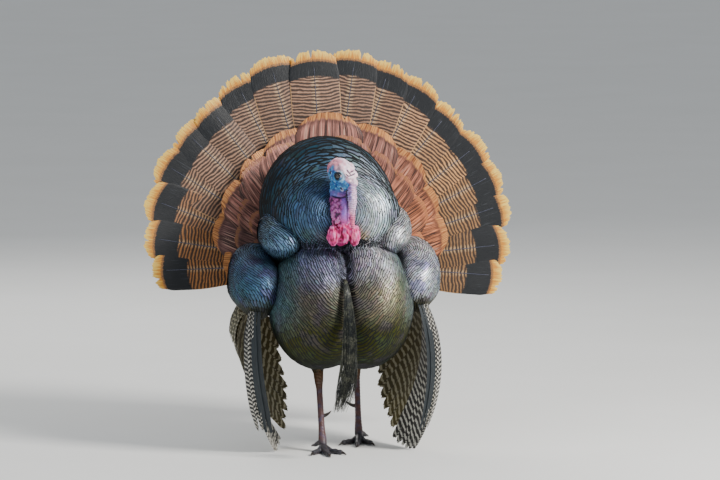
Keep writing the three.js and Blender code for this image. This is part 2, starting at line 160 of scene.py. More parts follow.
# makes a piece from arrays: faces is a list of arrays of quads or triangles
def addPiece(name, points, faces, material, uvs=None, tint=None, values=None, sharp=None):
    mesh = bpy.data.meshes.new(name)
    places = inFrame(points.reshape(-1, 3))
    corners = np.concatenate([f.ravel() for f in faces]).astype(np.int32)
    sizes = np.concatenate([np.full(len(f), f.shape[1]) for f in faces])
    starts = np.concatenate([[0], np.cumsum(sizes)[:-1]]).astype(np.int32)
    mesh.vertices.add(len(places))
    mesh.vertices.foreach_set("co", places.astype(np.float32).ravel())
    mesh.loops.add(len(corners))
    mesh.loops.foreach_set("vertex_index", corners)
    mesh.polygons.add(len(sizes))
    mesh.polygons.foreach_set("loop_start", starts)
    mesh.update(calc_edges=True)
    mesh.validate()
    for title, uv in (uvs or {}).items():
        layer = mesh.uv_layers.new(name=title)
        layer.data.foreach_set("uv", uv.reshape(-1, 2)[corners].astype(np.float32).ravel())
    if tint is not None:
        addTint(mesh, tint.reshape(-1, 3))
    for title, value in (values or {}).items():
        mesh.attributes.new(title, "FLOAT", "POINT").data.foreach_set("value", value.astype(np.float32).ravel())
    mesh.shade_smooth()
    if sharp:
        mesh.set_sharp_from_angle(angle=np.radians(sharp))
    piece = bpy.data.objects.new(name, mesh)
    bpy.context.scene.collection.objects.link(piece)
    if material:
        mesh.materials.append(material)
    return piece


def turnedOut(points, faces):  # the faces, turned over if the closed shape has its volume inside out
    flat = points.reshape(-1, 3)
    a, b, c = (flat[faces[:, i]] for i in (0, 1, 2))
    volume = (a * np.cross(b, c)).sum()
    if faces.shape[1] == 4:
        d = flat[faces[:, 3]]
        volume += (a * np.cross(c, d)).sum()
    return faces[:, ::-1] if volume < 0 else faces


def gridFaces(rows, columns, wrap=False):  # the quads of a grid of points, joined round where it wraps
    i, j = np.meshgrid(np.arange(rows - 1), np.arange(columns if wrap else columns - 1), indexing="ij")
    k = (j + 1) % columns
    quads = np.stack([i * columns + j, i * columns + k, (i + 1) * columns + k, (i + 1) * columns + j], -1)
    return quads.reshape(-1, 4)


# rings of an ellipse carried along the line through the stations (x, y, z, half-width, half-height); the
# half-width lies along the side axis, and the ends close as the root of 1 - t^2
def tubeGrid(stations, rings, sides, sideAxis=(1, 0, 0), rounded=0.12):
    place = np.linspace(0, 1, rings)
    line = curve(stations, place)
    along = unit(np.gradient(line[:, :3], axis=0))
    across = unit(np.cross(along, sideAxis))
    other = unit(np.cross(across, along))
    end = np.clip(np.minimum(place, 1 - place) / rounded, 0, 1) if rounded else np.ones(rings)
    shut = np.sqrt(1 - (1 - end) ** 2)[:, None, None]
    angle = np.linspace(0, 2 * np.pi, sides, endpoint=False)[None, :, None]
    wide = other[:, None] * np.cos(angle) * line[:, None, 3:4]
    high = across[:, None] * np.sin(angle) * line[:, None, 4:5]
    return line[:, None, :3] + (wide + high) * shut


def closedTube(grid):  # the faces of a tube of rings, with a fan of triangles on each end
    rings, sides = grid.shape[:2]
    quads = gridFaces(rings, sides, wrap=True)
    hub = np.array([rings * sides, rings * sides + 1])
    points = np.vstack([grid.reshape(-1, 3), grid[0].mean(0), grid[-1].mean(0)])
    j = np.arange(sides)
    k = (j + 1) % sides
    first = np.stack([np.full(sides, hub[0]), k, j], -1)
    last = np.stack([np.full(sides, hub[1]), (rings - 1) * sides + j, (rings - 1) * sides + k], -1)
    flip = turnedOut(points, quads)[0, 0] != quads[0, 0]
    return points, [f[:, ::-1] if flip else f for f in (quads, first, last)]


def joined(shapes):  # several (points, faces) as one
    points, faces, offset = [], [], 0
    for shapePoints, shapeFaces in shapes:
        points.append(shapePoints)
        faces += [f + offset for f in shapeFaces]
        offset += len(shapePoints)
    return np.vstack(points), faces


# nodes: a Wire is a number, colour or vector on its way through a material, and can be reckoned with

class Wire:
    def __init__(self, tree, out):
        self.tree, self.out = tree, out

    def node(self, kind, *inputs, output=0, **settings):
        made = self.tree.nodes.new(kind)
        for key, value in settings.items():
            setattr(made, key, value)
        for place, value in inputs:
            if isinstance(value, Wire):
                self.tree.links.new(value.out, made.inputs[place])
            elif value is not None:
                made.inputs[place].default_value = value
        return Wire(self.tree, made.outputs[output])

    def math(self, operation, *others):
        return self.node("ShaderNodeMath", *enumerate((self, *others)), operation=operation)

    def __add__(self, other):
        return self.math("ADD", other)

    def __sub__(self, other):
        return self.math("SUBTRACT", other)

    def __mul__(self, other):
        return self.math("MULTIPLY", other)

    def __truediv__(self, other):
        return self.math("DIVIDE", other)

    __radd__, __rmul__ = __add__, __mul__

    def __rsub__(self, other):
        return self.math("MULTIPLY", -1.0).math("ADD", other)

    def __abs__(self):
        return self.math("ABSOLUTE")

    def fract(self):
        return self.math("FRACT")

    def most(self, other):
        return self.math("MAXIMUM", other)

    def rise(self, low, high):  # 0 below low, 1 above high, with a smooth step between; falls if low > high
        back = low > high
        inputs = (("Value", self), ("From Min", min(low, high)), ("From Max", max(low, high)))
        ends = (("To Min", 1.0 if back else 0.0), ("To Max", 0.0 if back else 1.0))
        return self.node("ShaderNodeMapRange", *inputs, *ends, interpolation_type="SMOOTHSTEP")

    def split(self):
        made = self.tree.nodes.new("ShaderNodeSeparateXYZ")
        self.tree.links.new(self.out, made.inputs[0])
        return [Wire(self.tree, out) for out in made.outputs]


def opaque(colour):
    return (*[float(c) for c in colour[:3]], 1.0)


# a material under way: its tree, its shader and the sources that patterns are reckoned from
class Finish:
    def __init__(self, name, roughness=0.5, metallic=0.0, **sockets):
        self.material = bpy.data.materials.new(name)
        self.material.use_nodes = True
        self.tree = self.material.node_tree
        self.shader = self.tree.nodes["Principled BSDF"]
        for socket, value in {"Roughness": roughness, "Metallic": metallic, **sockets}.items():
            self.shader.inputs[socket].default_value = value

    def wire(self, kind, output=0, **settings):
        return Wire(self.tree, None).node(kind, output=output, **settings)

    def place(self):
        return self.wire("ShaderNodeTexCoord", output="Object")

    def uv(self, title="vane"):
        return self.wire("ShaderNodeUVMap", uv_map=title)

    def tint(self, title="tint"):
        return self.wire("ShaderNodeAttribute", output="Color", attribute_name=title)

    def value(self, title):
        return self.wire("ShaderNodeAttribute", output="Fac", attribute_name=title)

    def vector(self, x, y, z=0.0):
        return Wire(self.tree, None).node("ShaderNodeCombineXYZ", (0, x), (1, y), (2, z))

    def noise(self, vector, scale, detail=3.0, rough=0.55):
        inputs = (("Vector", vector), ("Scale", scale), ("Detail", detail), ("Roughness", rough))
        return Wire(self.tree, None).node("ShaderNodeTexNoise", *inputs)

    def cells(self, vector, scale, feature="F1"):
        inputs = (("Vector", vector), ("Scale", scale))
        return Wire(self.tree, None).node("ShaderNodeTexVoronoi", *inputs, feature=feature)

    def colour(self, first, second, share, blend="MIX"):
        sockets = {"share": 0, "first": 6, "second": 7, "result": 2}  # a Mix node's own places for colours
        ends = [end if isinstance(end, Wire) else opaque(end) for end in (first, second)]
        inputs = zip((sockets["share"], sockets["first"], sockets["second"]), (share, *ends))
        made = Wire(self.tree, None)
        return made.node("ShaderNodeMix", *inputs, output=sockets["result"], data_type="RGBA", blend_type=blend)

    def shaded(self, colour, factor):  # the colour times a number
        return self.colour(colour, self.vector(factor, factor, factor), 1.0, "MULTIPLY")

    def bump(self, height, distance, strength=1.0):
        inputs = (("Strength", strength), ("Distance", distance), ("Height", height))
        self.link(Wire(self.tree, None).node("ShaderNodeBump", *inputs), "Normal")

    def link(self, wire, socket):
        self.tree.links.new(wire.out, self.shader.inputs[socket])

    def finish(self, colour, roughness=None):
        self.link(colour, "Base Color")
        if roughness:
            self.link(roughness, "Roughness")
        return self.material


# the rounded forms that carry small feathers

bodyForm = {
    "centre": (0, 0, 373),
    "power": 2,
    "lobes": [  # where each stands, how far a pair is apart to each side, its radii, and its creases' width
        ((-2, -46, 480), 38, (90, 112, 84), 20),
        ((-8, -24, 490), 0, (96, 90, 88), 40),
        ((-13, 62, 486), 0, (134, 118, 146), 80),
        ((4, -70, 304), 45, (102, 136, 132), 14),
        ((0, 92, 335), 0, (118, 124, 112), 40),
        ((0, 15, 275), 0, (120, 118, 102), 40),
    ],
    "groove": {  # the cleft down the breast, and where it starts: from the front, from below and from above
        "at": 4, "wide": 8, "deep": 13, "front": (-60, -140), "foot": (262, 330), "top": (448, 430),
    },
    "pole": (-5, -158, 127),  # the root of the neck, from the centre: every feather points away from it
}
wings = {  # out and lift move a whole wing; tips and bow move its quills sideways; drawn leans its arm's foot
    "right": {"side": -1, "out": 3, "lift": 0, "tips": -6, "bow": -26, "drawn": -8},
    "left": {"side": 1, "out": -4, "lift": 12, "tips": 28, "bow": 6, "drawn": 4},
}


def onWing(wing, points):
    points = np.array(points, float)
    move = np.array([wing["out"], 0, wing["lift"]])
    points[..., :3] = (points[..., :3] + move) * np.array([wing["side"], 1, 1])
    return points


# how far each direction goes from the form's centre to its surface. A ray leaves a lobe where the sum of the
# powers of its place over the radii is 1. The larger of two reaches holds, and where they differ by less than
# the crease, the square of what is left of it, over four creases, fills the corner
def reach(form, way, grow=0.0):
    total = np.zeros(way.shape[:-1])
    for at, apart, radii, crease in form["lobes"]:
        radii = np.array(radii, float) + grow
        for side in (1, -1) if apart else (0,):
            centre = np.array(at, float) + np.array([side * apart, 0, 0])
            start = (np.array(form["centre"], float) - centre) / radii
            ray = way / radii
            if form["power"] == 2:
                a = (ray**2).sum(-1)
                b = (ray * start).sum(-1)
                c = (start**2).sum() - 1
                out = (-b + np.sqrt(np.maximum(0, b * b - a * c))) / a
            else:
                out = (np.abs(ray) ** form["power"]).sum(-1) ** (-1 / form["power"])
            left = np.maximum(crease - np.abs(out - total), 0)
            total = np.maximum(total, out) + left**2 / (4 * crease)
    if "groove" in form:
        g = form["groove"]
        x, y, z = (way[..., i] * total + form["centre"][i] for i in range(3))
        front = smooth(*g["front"], y) * smooth(*g["foot"], z) * smooth(*g["top"], z)
        total = total - g["deep"] * front * bell(x, g["at"], g["wide"])
    return total


# the form's own bend: sideways and up with the square of the way along Y; a taper, drawn in across from a full
# width above to a share of it below, toward a line that may be aside; and a lean, aside by the height
def bent(form, points):
    if "taper" in form:
        low, high, share, aside = form["taper"]
        middle = np.array(form["centre"][:2], float)
        drawn = smooth(high, low, points[..., 2:3])
        flat = middle + (points[..., :2] - middle) * mix(1, share, drawn) + np.array(aside, float) * drawn
        points = np.concatenate([flat, points[..., 2:3]], -1)
    if "lean" in form:
        height = points[..., 2:3] - form["centre"][2]
        points = points + height * np.array([*form["lean"], 0])
    if "bend" in form:
        y = points[..., 1:2] - form["centre"][1]
        points = points + y * y * np.array(form["bend"]) + y * np.array(form["slope"])
    return points


def poleAxes(form):  # the pole, and two axes across it
    pole = unit(np.array(form["pole"], float))
    side = unit(np.cross(pole, (0, 0, 1)))
    return pole, side, np.cross(side, pole)


def direction(form, theta, phi):  # theta is the angle from the pole, phi the angle round it
    pole, side, other = poleAxes(form)
    theta, phi = np.broadcast_arrays(theta, phi)
    outward = np.cos(phi)[..., None] * side + np.sin(phi)[..., None] * other
    return np.cos(theta)[..., None] * pole + np.sin(theta)[..., None] * outward


def onForm(form, way, lift=0.0):  # the point where a direction meets the form, and lift above it
    return np.array(form["centre"], float) + way * (reach(form, way) + lift)[..., None]


armSet = {  # the two cushions of each wing, as on the left; taper is its lower and upper end and the share left
    "shoulder": {
        "centre": (114, -12, 436), "radii": (42, 124, 50), "bend": (-0.0009, 0, 0), "slope": (-0.03, 0, 0.06),
        "pole": (-1.1, -0.9, 0.5), "taper": (385, 440, 0.72), "drawn": -4,
    },
    "arm": {
        "centre": (163, -4, 342), "radii": (53, 128, 72),
        "bend": (-0.0009, 0, 0.0003), "slope": (-0.03, 0, 0.09),
        "pole": (-0.8, -1, 0.9), "taper": (258, 326, 0.6),
    },
}


def armForm(wing, name):
    arm = armSet[name]
    side = wing["side"]
    centre = tuple(onWing(wing, arm["centre"]))
    mirrored = {key: tuple(np.array(arm[key], float) * (side, 1, 1)) for key in ("bend", "slope", "pole")}
    low, high, share = arm["taper"]
    aside = arm.get("drawn", wing["drawn"])
    return {
        "name": name, "centre": centre, "power": 2.4, "lobes": [(centre, 0, arm["radii"], 1)], **mirrored,
        "taper": (low + wing["lift"], high + wing["lift"], share, (side * aside, 0)),
    }


def armForms(side):
    return [armForm(wings[side], name) for name in armSet]


# colours of the body feathers, the same on the skin below them

plumage = {  # sunny tones are painted sunlight: lighter copies of the colours for the side that faces the light
    "mantle": paint(8, 56, 76), "mantleNear": paint(78, 112, 138), "mantleSunny": paint(150, 166, 176),
    "crop": paint(70, 96, 126), "cropSunny": paint(198, 208, 216), "moss": paint(72, 84, 72),
    "bronze": paint(168, 142, 108), "breast": paint(126, 132, 164), "teal": paint(64, 112, 110),
    "breastSunny": paint(214, 212, 222), "umber": paint(88, 80, 58), "umberSunny": paint(104, 96, 62),
    "belly": paint(56, 58, 16), "underside": paint(18, 28, 8),
    "back": paint(34, 34, 28), "rump": paint(58, 36, 24),
}


plumageEnds = {  # the place where each tone starts and the place where it is full, in millimetres
    "sunnyAcross": (-30, 70), "sunnyBack": (-60, 50), "crease": (432, 440),
    "moss": (478, 446), "mossAcross": (10, -30),
    "bronze": (476, 448), "bronzeIn": (-10, 24), "bronzeOut": (62, 40), "near": (60, 100), "mantle": (92, 130),
    "back": (60, 130), "teal": (78, 112), "umber": (404, 336), "umberAcross": (150, 90), "belly": (330, 262),
    "underside": (226, 178), "rump": (70, 160),
}
plumageShadow = {"colour": paint(8, 12, 15), "crease": (427, 6.5), "cleft": (5, 5), "most": 0.92}


def plumageTint(points):  # colours by place, each region running into the next over a few centimetres, with painted sunlight on the lit side and painted shadow in the crease and the cleft
    x, y, z = (points[..., i][..., None] for i in range(3))
    p, ends = plumage, plumageEnds
    # sunny is the share of painted sunlight, full on the side toward the lamp and fainter toward the back
    sunny = smooth(*ends["sunnyAcross"], x) * (1 - 0.6 * smooth(*ends["sunnyBack"], y))
    cloud = ripple(points, 70, 15)[..., None]
    aside = np.hypot(x + 5, z - 500) + 8 * cloud
    crop = mix(p["crop"], p["cropSunny"], sunny)
    crop = mix(crop, p["moss"], 0.8 * smooth(*ends["moss"], z) * smooth(*ends["mossAcross"], x))
    bronze = 0.8 * smooth(*ends["bronze"], z) * smooth(*ends["bronzeIn"], x) * smooth(*ends["bronzeOut"], x)
    crop = mix(crop, p["bronze"], bronze)
    outer = mix(crop, mix(p["mantleNear"], p["mantleSunny"], sunny), smooth(*ends["near"], aside) * 0.7)
    upper = mix(outer, p["mantle"], smooth(*ends["mantle"], aside - 16 * sunny))
    upper = mix(upper, p["back"], smooth(*ends["back"], y))
    breast = mix(p["breast"], p["breastSunny"], sunny)
    breast = mix(breast, p["teal"], 0.75 * smooth(*ends["teal"], np.abs(x - 4)))
    umber = mix(p["umber"], p["umberSunny"], sunny)
    umberShare = 0.9 * smooth(*ends["umber"], z + 14 * cloud) * smooth(*ends["umberAcross"], np.abs(x - 10))
    breast = mix(breast, umber, umberShare)
    lower = mix(breast, p["belly"], smooth(*ends["belly"], z + 0.16 * np.abs(x) + 10 * cloud))
    lower = mix(lower, p["underside"], smooth(*ends["underside"], z))
    lower = mix(lower, p["rump"], smooth(*ends["rump"], y))
    tone = mix(lower, upper, smooth(*ends["crease"], z))
    shadow = bell(z, *plumageShadow["crease"]) * smooth(-50, -90, y)
    cleft = bell(x, *plumageShadow["cleft"]) * smooth(-90, -130, y) * smooth(436, 420, z) * smooth(290, 320, z)
    return mix(tone, plumageShadow["colour"], np.clip(shadow + cleft, 0, plumageShadow["most"]))


armColours = {  # the right wing lies away from the light, so its colours are painted shade, darker and bluer, and the left wing's lighter ones painted sunlight
    "right": {
        "slate": (84, 118, 150), "violet": (86, 92, 138), "olive": (54, 58, 34), "upper": (112, 146, 176),
    },
    "left": {
        "slate": (206, 210, 220), "violet": (160, 162, 194), "olive": (80, 78, 44), "upper": (224, 226, 232),
    },
    "both": {"teal": (40, 100, 98), "rear": (58, 48, 34)},
}


def wingTint(points, side):
    x, y, z = np.abs(points[..., 0:1]), points[..., 1:2], points[..., 2:3]
    c = {name: paint(*colour) for name, colour in {**armColours["both"], **armColours[side]}.items()}
    cloud = ripple(points, 46, 16)[..., None]
    tone = mix(c["slate"], c["violet"], smooth(0.0, 0.8, cloud))
    tone = mix(tone, c["upper"], smooth(396, 410, z))
    tone = mix(tone, c["teal"], 0.35 * smooth(34, 8, np.abs(z - 338)) * smooth(160, 200, x))
    tone = mix(tone, c["olive"], smooth(338, 296, z + 8 * cloud))
    tone = mix(tone, c["olive"], 0.8 * smooth(412, 396, z) * smooth(138, 118, x) * smooth(372, 384, z))
    return mix(tone, c["rear"], smooth(0, 90, y))


# tracts: rows of small feathers that point away from a form's pole and overlap like tiles

vaneRows = np.array([0, 0.34, 0.6, 0.8, 0.93, 1.0])
vaneColumns = np.array([-1, -0.55, 0, 0.55, 1.0])
bakePatch = 0.003  # how wide a small feather is on the map for baked colours


# points and quads of closed lens-shaped vanes from middle surfaces (count, rows, columns, 3): the two sides
# share their rim, and stand half the thickness apart inside it
def pillow(middle, thickness):
    count, rows, columns = middle.shape[:3]
    normal = unit(np.cross(np.gradient(middle, axis=2), np.gradient(middle, axis=1)))
    inner = np.zeros((rows, columns, 1))
    inner[1:-1, 1:-1] = 1
    half = normal * inner * thickness / 2
    front, back = middle + half, (middle - half)[:, 1:-1, 1:-1]
    size = rows * columns
    backIndex = np.arange(size).reshape(rows, columns)
    backIndex[1:-1, 1:-1] = size + np.arange((rows - 2) * (columns - 2)).reshape(rows - 2, columns - 2)
    cells = gridFaces(rows, columns)
    one = np.vstack([cells, backIndex.ravel()[cells][:, ::-1]])
    points = np.concatenate([front.reshape(count, size, 3), back.reshape(count, -1, 3)], 1)
    each = points.shape[1]
    quads = (one[None] + (np.arange(count) * each)[:, None, None]).reshape(-1, 4)
    return points, turnedOut(points, quads)


def pillowValues(values):  # values given on the middle surface, repeated for the points of its back
    count = values.shape[0]
    back = values[:, 1:-1, 1:-1]
    tail = values.shape[3:]
    return np.concatenate([values.reshape(count, -1, *tail), back.reshape(count, -1, *tail)], 1)


rowSet = {
    "meridians": 220, "steps": 280, "ends": (0.03, 0.06),  # radians left free round the pole and its opposite
    "eased": 5,  # meridians to each side that even a row out
    "sway": (0.55, 46, 12), "waver": (0.25, 17, 13),  # how many rows a row wanders by, over what length, seed
    "scatter": 0.12, "last": 0.01,
}


# Roots in rows. The row number grows from the pole along every meridian by distance over the gap wanted there;
# a row is where it passes a whole number, and its feathers stand a side gap apart round it. Each root is its
# angle from the pole, its angle round it and the way its row runs there
def tractRoots(form, gapAt, sideOver, draw):
    s = rowSet
    theta = np.linspace(s["ends"][0], np.pi - s["ends"][1], s["steps"])
    phi = np.linspace(0, 2 * np.pi, s["meridians"], endpoint=False)
    around = np.append(phi, 2 * np.pi)
    points = onForm(form, direction(form, theta[:, None], phi[None]))
    step = far(points[1:], points[:-1])
    gap = gapAt(points)
    number = np.cumsum(step / ((gap[1:] + gap[:-1]) / 2), axis=0)
    number = np.vstack([np.zeros((1, s["meridians"])), number])
    number = sum(np.roll(number, k, axis=1) for k in range(-s["eased"], s["eased"] + 1)) / (2 * s["eased"] + 1)
    for share, size, seed in (s["sway"], s["waver"]):
        number = number + share * ripple(points, size, seed)
    number = np.maximum.accumulate(number, axis=0)
    rows = np.arange(1, int(number.max()))
    table = np.stack([np.interp(rows, column, theta, right=np.nan) for column in number.T], 1)
    found = []
    for k, line in zip(rows, table):
        line = np.where(np.isnan(line), theta[-1], line)
        loop = onForm(form, direction(form, line, phi))
        side = far(np.roll(loop, -1, axis=0), loop) / (gapAt(loop) * sideOver)
        slope = np.roll(loop, -2, axis=0) - np.roll(loop, 2, axis=0)
        count = np.concatenate([[0], np.cumsum(side)])
        places = np.arange(int(count[-1])) + 0.5 * (k % 2)
        places = places + draw.uniform(-s["scatter"], s["scatter"], len(places))
        turn = np.interp(places, count, around)
        tilt = np.interp(turn, around, np.append(line, line[0]))
        way = [np.interp(turn, around, np.append(part, part[0])) for part in slope.T]
        keep = tilt < theta[-1] - s["last"]
        found.append(np.stack([tilt[keep], turn[keep], *(part[keep] for part in way)], 1))
    return np.vstack(found)


vaneShape = {"sizes": (0.94, 1.06), "swell": (-0.1, 0.6), "closing": (0.74, 1.0), "tipLift": (0.72, 1.0)}


# Each vane lies along the form: from its root it runs down the meridian and is laid back on the surface, its
# root sunk by the coat's depth and its tip lifted; its half-width swells and then closes to the tip
def tractVanes(form, roots, gapAt, style, draw):
    count = len(roots)
    way = direction(form, roots[:, 0], roots[:, 1])
    base = onForm(form, way)
    ahead = onForm(form, direction(form, roots[:, 0] + 0.01, roots[:, 1]))
    along = unit(np.cross(roots[:, 2:5], way))
    along = along * np.sign((along * (ahead - base)).sum(-1, keepdims=True))
    side = unit(np.cross(way, along))
    twist = draw.normal(0, style["twist"], count)[:, None]
    along, side = unit(along + side * twist), unit(side - along * twist)
    gap = gapAt(base) * draw.uniform(*vaneShape["sizes"], count)
    length = (gap * (style["overlap"] + draw.normal(0, style["jitter"], count)))[:, None, None]
    halfWidth = (gap * style["sideOver"] * style["broad"] / 2)[:, None, None]
    v = vaneRows[None, :, None]
    u = vaneColumns[None, None, :]
    swell = smooth(*vaneShape["swell"], v) * (1 - (1 - style["tip"]) * smooth(*vaneShape["closing"], v))
    forward = (length * (v - style["round"] * u * u * v * v))[..., None]
    sideways = (halfWidth * swell * u)[..., None]
    start = base - along * (length[:, 0] * (1 - 1 / style["overlap"]))
    flat = start[:, None, None] + along[:, None, None] * forward + side[:, None, None] * sideways
    rayWay = unit(flat - np.array(form["centre"], float))
    depth = np.minimum(style["depth"], gap * style["sink"])[:, None, None]
    gap = gap[:, None, None]
    lift = style["lift"] * gap * smooth(*vaneShape["tipLift"], v)
    ragged = draw.normal(0, style["ruffle"], count)[:, None, None] * v
    height = style["tilt"] * gap * u - depth * (1 - v) + lift - style["droop"] * depth * u * u + ragged
    return onForm(form, rayWay, height)


def tractPiece(name, form, style, gapAt, tintAt, keepAt, material, seed, slot="body_plumage"):
    draw = np.random.default_rng(seed)
    roots = tractRoots(form, gapAt, style["sideOver"], draw)
    base = bent(form, onForm(form, direction(form, roots[:, 0], roots[:, 1])))
    kept = keepAt(base)
    roots, base = roots[kept], base[kept]
    points, quads = pillow(bent(form, tractVanes(form, roots, gapAt, style, draw)), style["thickness"])
    count = len(roots)
    shade = draw.normal(1, style["vary"], (count, 1))
    hue = 1 + draw.normal(0, style["hue"], (count, 3))
    tint = np.clip(tintAt(base) * shade * hue, 0.002, 1)
    fill = np.ones((count, len(vaneRows), len(vaneColumns)))
    odds = draw.uniform(0, 1, count)
    edge = style["edge"](base) if callable(style["edge"]) else np.full(count, style["edge"])
    uv = np.stack(np.broadcast_arrays((vaneColumns[None, None] + 1) / 2, vaneRows[None, :, None], fill)[:2], -1)
    patch = np.stack([roots[:, 1] / (2 * np.pi), roots[:, 0] / np.pi], -1)[:, None, None, :]
    bake = np.clip(bakePatch + (1 - 2 * bakePatch) * patch + bakePatch * (uv - 0.5), 0, 1)
    piece = addPiece(
        name, points, [quads], material, sharp=60, uvs={"vane": pillowValues(uv), "OFBake": pillowValues(bake)},
        tint=pillowValues(tint[:, None, None, :] * fill[..., None]),
        values={
            "odds": pillowValues(odds[:, None, None] * fill), "edge": pillowValues(edge[:, None, None] * fill),
        },
    )
    settle(piece, slot)
    print(name, count, "feathers")


sheen = {
    "green": (0.050, 0.085, 0.050), "violet": (0.085, 0.060, 0.120), "tip": (0.0035, 0.0045, 0.0055),
    "metallic": 0.60, "roughness": 0.36,
}


# streaks along the barbs over the feather's own colour, clouded green and violet, and a dull black tip, whose
# depth grows with the edge value
def plumageFinish():
    f = Finish("iridescent plumage", sheen["roughness"], **{"Specular IOR Level": 0.25})
    u, v, _ = f.uv().split()
    cloud = f.noise(f.place(), 24.0, 2.0)
    fleck = f.noise(f.place(), 130.0, 2.0)
    green = f.colour(f.tint(), sheen["green"], cloud.rise(0.52, 0.72) * 0.42)
    violet = f.colour(green, sheen["violet"], cloud.rise(0.48, 0.32) * 0.36)
    streak = f.noise(f.vector(u * 30.0, v * 2.0 - abs(u - 0.5) * 2.0, f.value("odds") * 50.0), 1.0, 2.0)
    body = f.shaded(violet, (streak * 0.8 + 0.6) * (fleck * 0.9 + 0.55))
    start = 0.985 - f.value("edge") * 0.10
    rim = (v + (streak - 0.5) * 0.03 - start).rise(-0.010, 0.012)
    side = abs(u - 0.5).rise(0.42, 0.5) * f.value("edge") * 0.5
    dark = rim.most(side)
    f.bump(streak, 0.0006, 0.5)
    f.link(sheen["metallic"] - dark * sheen["metallic"], "Metallic")
    return f.finish(f.colour(body, sheen["tip"], dark), (cloud * 0.16 + sheen["roughness"]) + dark * 0.2)


neckRoot = (-5, -160, 505)
coatGap = {"neck": 4.6, "belly": 8.6, "mantle": 12.6, "breast": 5.0, "behind": 16.0}  # mm from row to row
coatEdge = {"belly": 0.55, "mantle": 0.80, "neck": 0.42, "breast": 0.42}  # how deep the black tips are, 0 to 1


def bodyGap(points):
    y, z = points[..., 1], points[..., 2]
    outer = mix(coatGap["belly"], coatGap["mantle"], smooth(400, 450, z))
    gap = mix(coatGap["neck"], outer, smooth(40, 200, far(points, neckRoot)))
    breast = smooth(235, 300, z) * smooth(452, 430, z) * smooth(20, -60, y)
    return mix(mix(gap, coatGap["breast"], breast), coatGap["behind"], smooth(60, 140, y))


def bodyEdge(points):
    z = points[..., 2]
    near = smooth(130, 60, far(points, neckRoot)) * smooth(436, 444, z)
    breast = smooth(240, 300, z) * smooth(440, 434, z)
    outer = mix(coatEdge["belly"], coatEdge["mantle"], smooth(400, 450, z))
    return mix(mix(outer, coatEdge["neck"], near), coatEdge["breast"], breast)


tile = {  # lengths in rows' gaps, but depth, ruffle and thickness in millimetres and twist in radians
    "overlap": 4.2, "sideOver": 2.3, "broad": 1.7, "tip": 0.86, "round": 0.05, "depth": 7.0, "sink": 0.9,
    "lift": 0.18, "tilt": 0.10, "droop": 0.14, "ruffle": 0.30, "twist": 0.05, "thickness": 0.5,
    "vary": 0.14, "hue": 0.05, "jitter": 0.09, "edge": bodyEdge,
}


def inside(form, points, margin=0.0):
    offset = points - np.array(form["centre"], float)
    return np.linalg.norm(offset, axis=-1) < reach(form, unit(offset)) - margin


bareNeck = {"line": [(-5, -146, 570), (-5, -150, 520), (-5, -151, 480), (-4, -150, 440)], "radius": 14}


def awayFromNeck(points):
    line = curve(bareNeck["line"], np.linspace(0, 1, 40))
    return np.linalg.norm(points[:, None] - line[None], axis=-1).min(1) > bareNeck["radius"]


breastPoles = {"right": (42, -150, 52), "left": (-34, -150, 52)}  # each half's rows bend about its own
coatParts = {"crease": 436, "belly": 262, "back": 14, "underWings": 14}  # heights, a place along Y and a margin
whole = (-np.inf, np.inf)


def clearOfWings(points):
    hidden = [inside(form, points, coatParts["underWings"]) for side in wings for form in armForms(side)]
    return ~np.any(hidden, axis=0)


def partOfCoat(heights, along, across=whole):  # a test for the feathers whose roots are between these places
    def keep(points):
        x, y, z = points.T
        slab = (z > heights[0]) & (z <= heights[1]) & (y >= along[0]) & (y < along[1])
        return slab & (x > across[0]) & (x <= across[1]) & clearOfWings(points) & awayFromNeck(points)
    return keep


def addBodyFeathers(material):
    crease, belly, back = coatParts["crease"], coatParts["belly"], coatParts["back"]
    cleft = bodyForm["groove"]["at"]
    above, below = (crease, np.inf), (0, crease)
    ahead, behind = (-np.inf, back), (back, np.inf)
    parts = [
        ("crop", bodyForm, partOfCoat(above, ahead), 11),
        ("mantle", bodyForm, partOfCoat(above, behind), 11),
    ]
    for side, across in (("right", (-np.inf, cleft)), ("left", (cleft, np.inf))):
        half = {**bodyForm, "pole": breastPoles[side]}
        parts.append((f"breast_{side}", half, partOfCoat((belly, crease), ahead, across), 12))
        parts.append((f"belly_{side}", half, partOfCoat((0, belly), ahead, across), 12))
    parts.append(("rump", bodyForm, partOfCoat(below, behind), 11))
    for name, form, keep, seed in parts:
        tractPiece(f"feathers_{name}", form, tile, bodyGap, plumageTint, keep, material, seed)


def everywhere(points):
    return np.ones(len(points), bool)


armTile = {**tile, "overlap": 4.4, "depth": 6.0, "edge": 0.45}
armGap = {"shoulder": (5.6, 5.6), "arm": (4.8, 8.0), "rear": 6}  # above, below, and what the rear adds


def addWingFeathers(material):
    for side in wings:
        for form in armForms(side):
            name = form["name"]

            def gap(points):
                front = mix(*armGap[name], smooth(360, 290, points[..., 2]))
                return front + smooth(-60, 60, points[..., 1]) * armGap["rear"]

            def tone(points):
                return wingTint(points, side)

            seed = 23 + len(side)
            tractPiece(f"feathers_{name}_{side}", form, armTile, gap, tone, everywhere, material, seed)


thighSet = {
    "radii": (27, 30, 58), "down": 0.52, "narrowed": 0.55, "from": -4, "to": 62, "gap": 6.0, "under": 12,
    "low": paint(92, 70, 46), "high": paint(30, 30, 18),
}
thighTile = {**tile, "overlap": 3.8, "depth": 4.0, "edge": 0.4, "tip": 0.6, "round": 0.12}


def thighForm(leg):
    t = thighSet
    hip, hock = np.array(leg["hip"], float), np.array(leg["hock"], float)
    lean = (hip - hock)[:2] / (hip - hock)[2]
    centre = tuple(mix(hip, hock, t["down"]))
    return {
        "centre": centre, "power": 2, "lobes": [(centre, 0, t["radii"], 1)],
        "pole": (0, 0.2, 1), "lean": tuple(lean),
        "taper": (leg["hock"][2] + t["from"], leg["hock"][2] + t["to"], t["narrowed"], (0, 0)),
    }


def thighTint(points):
    return mix(thighSet["low"], thighSet["high"], smooth(158, 200, points[..., 2:3]))


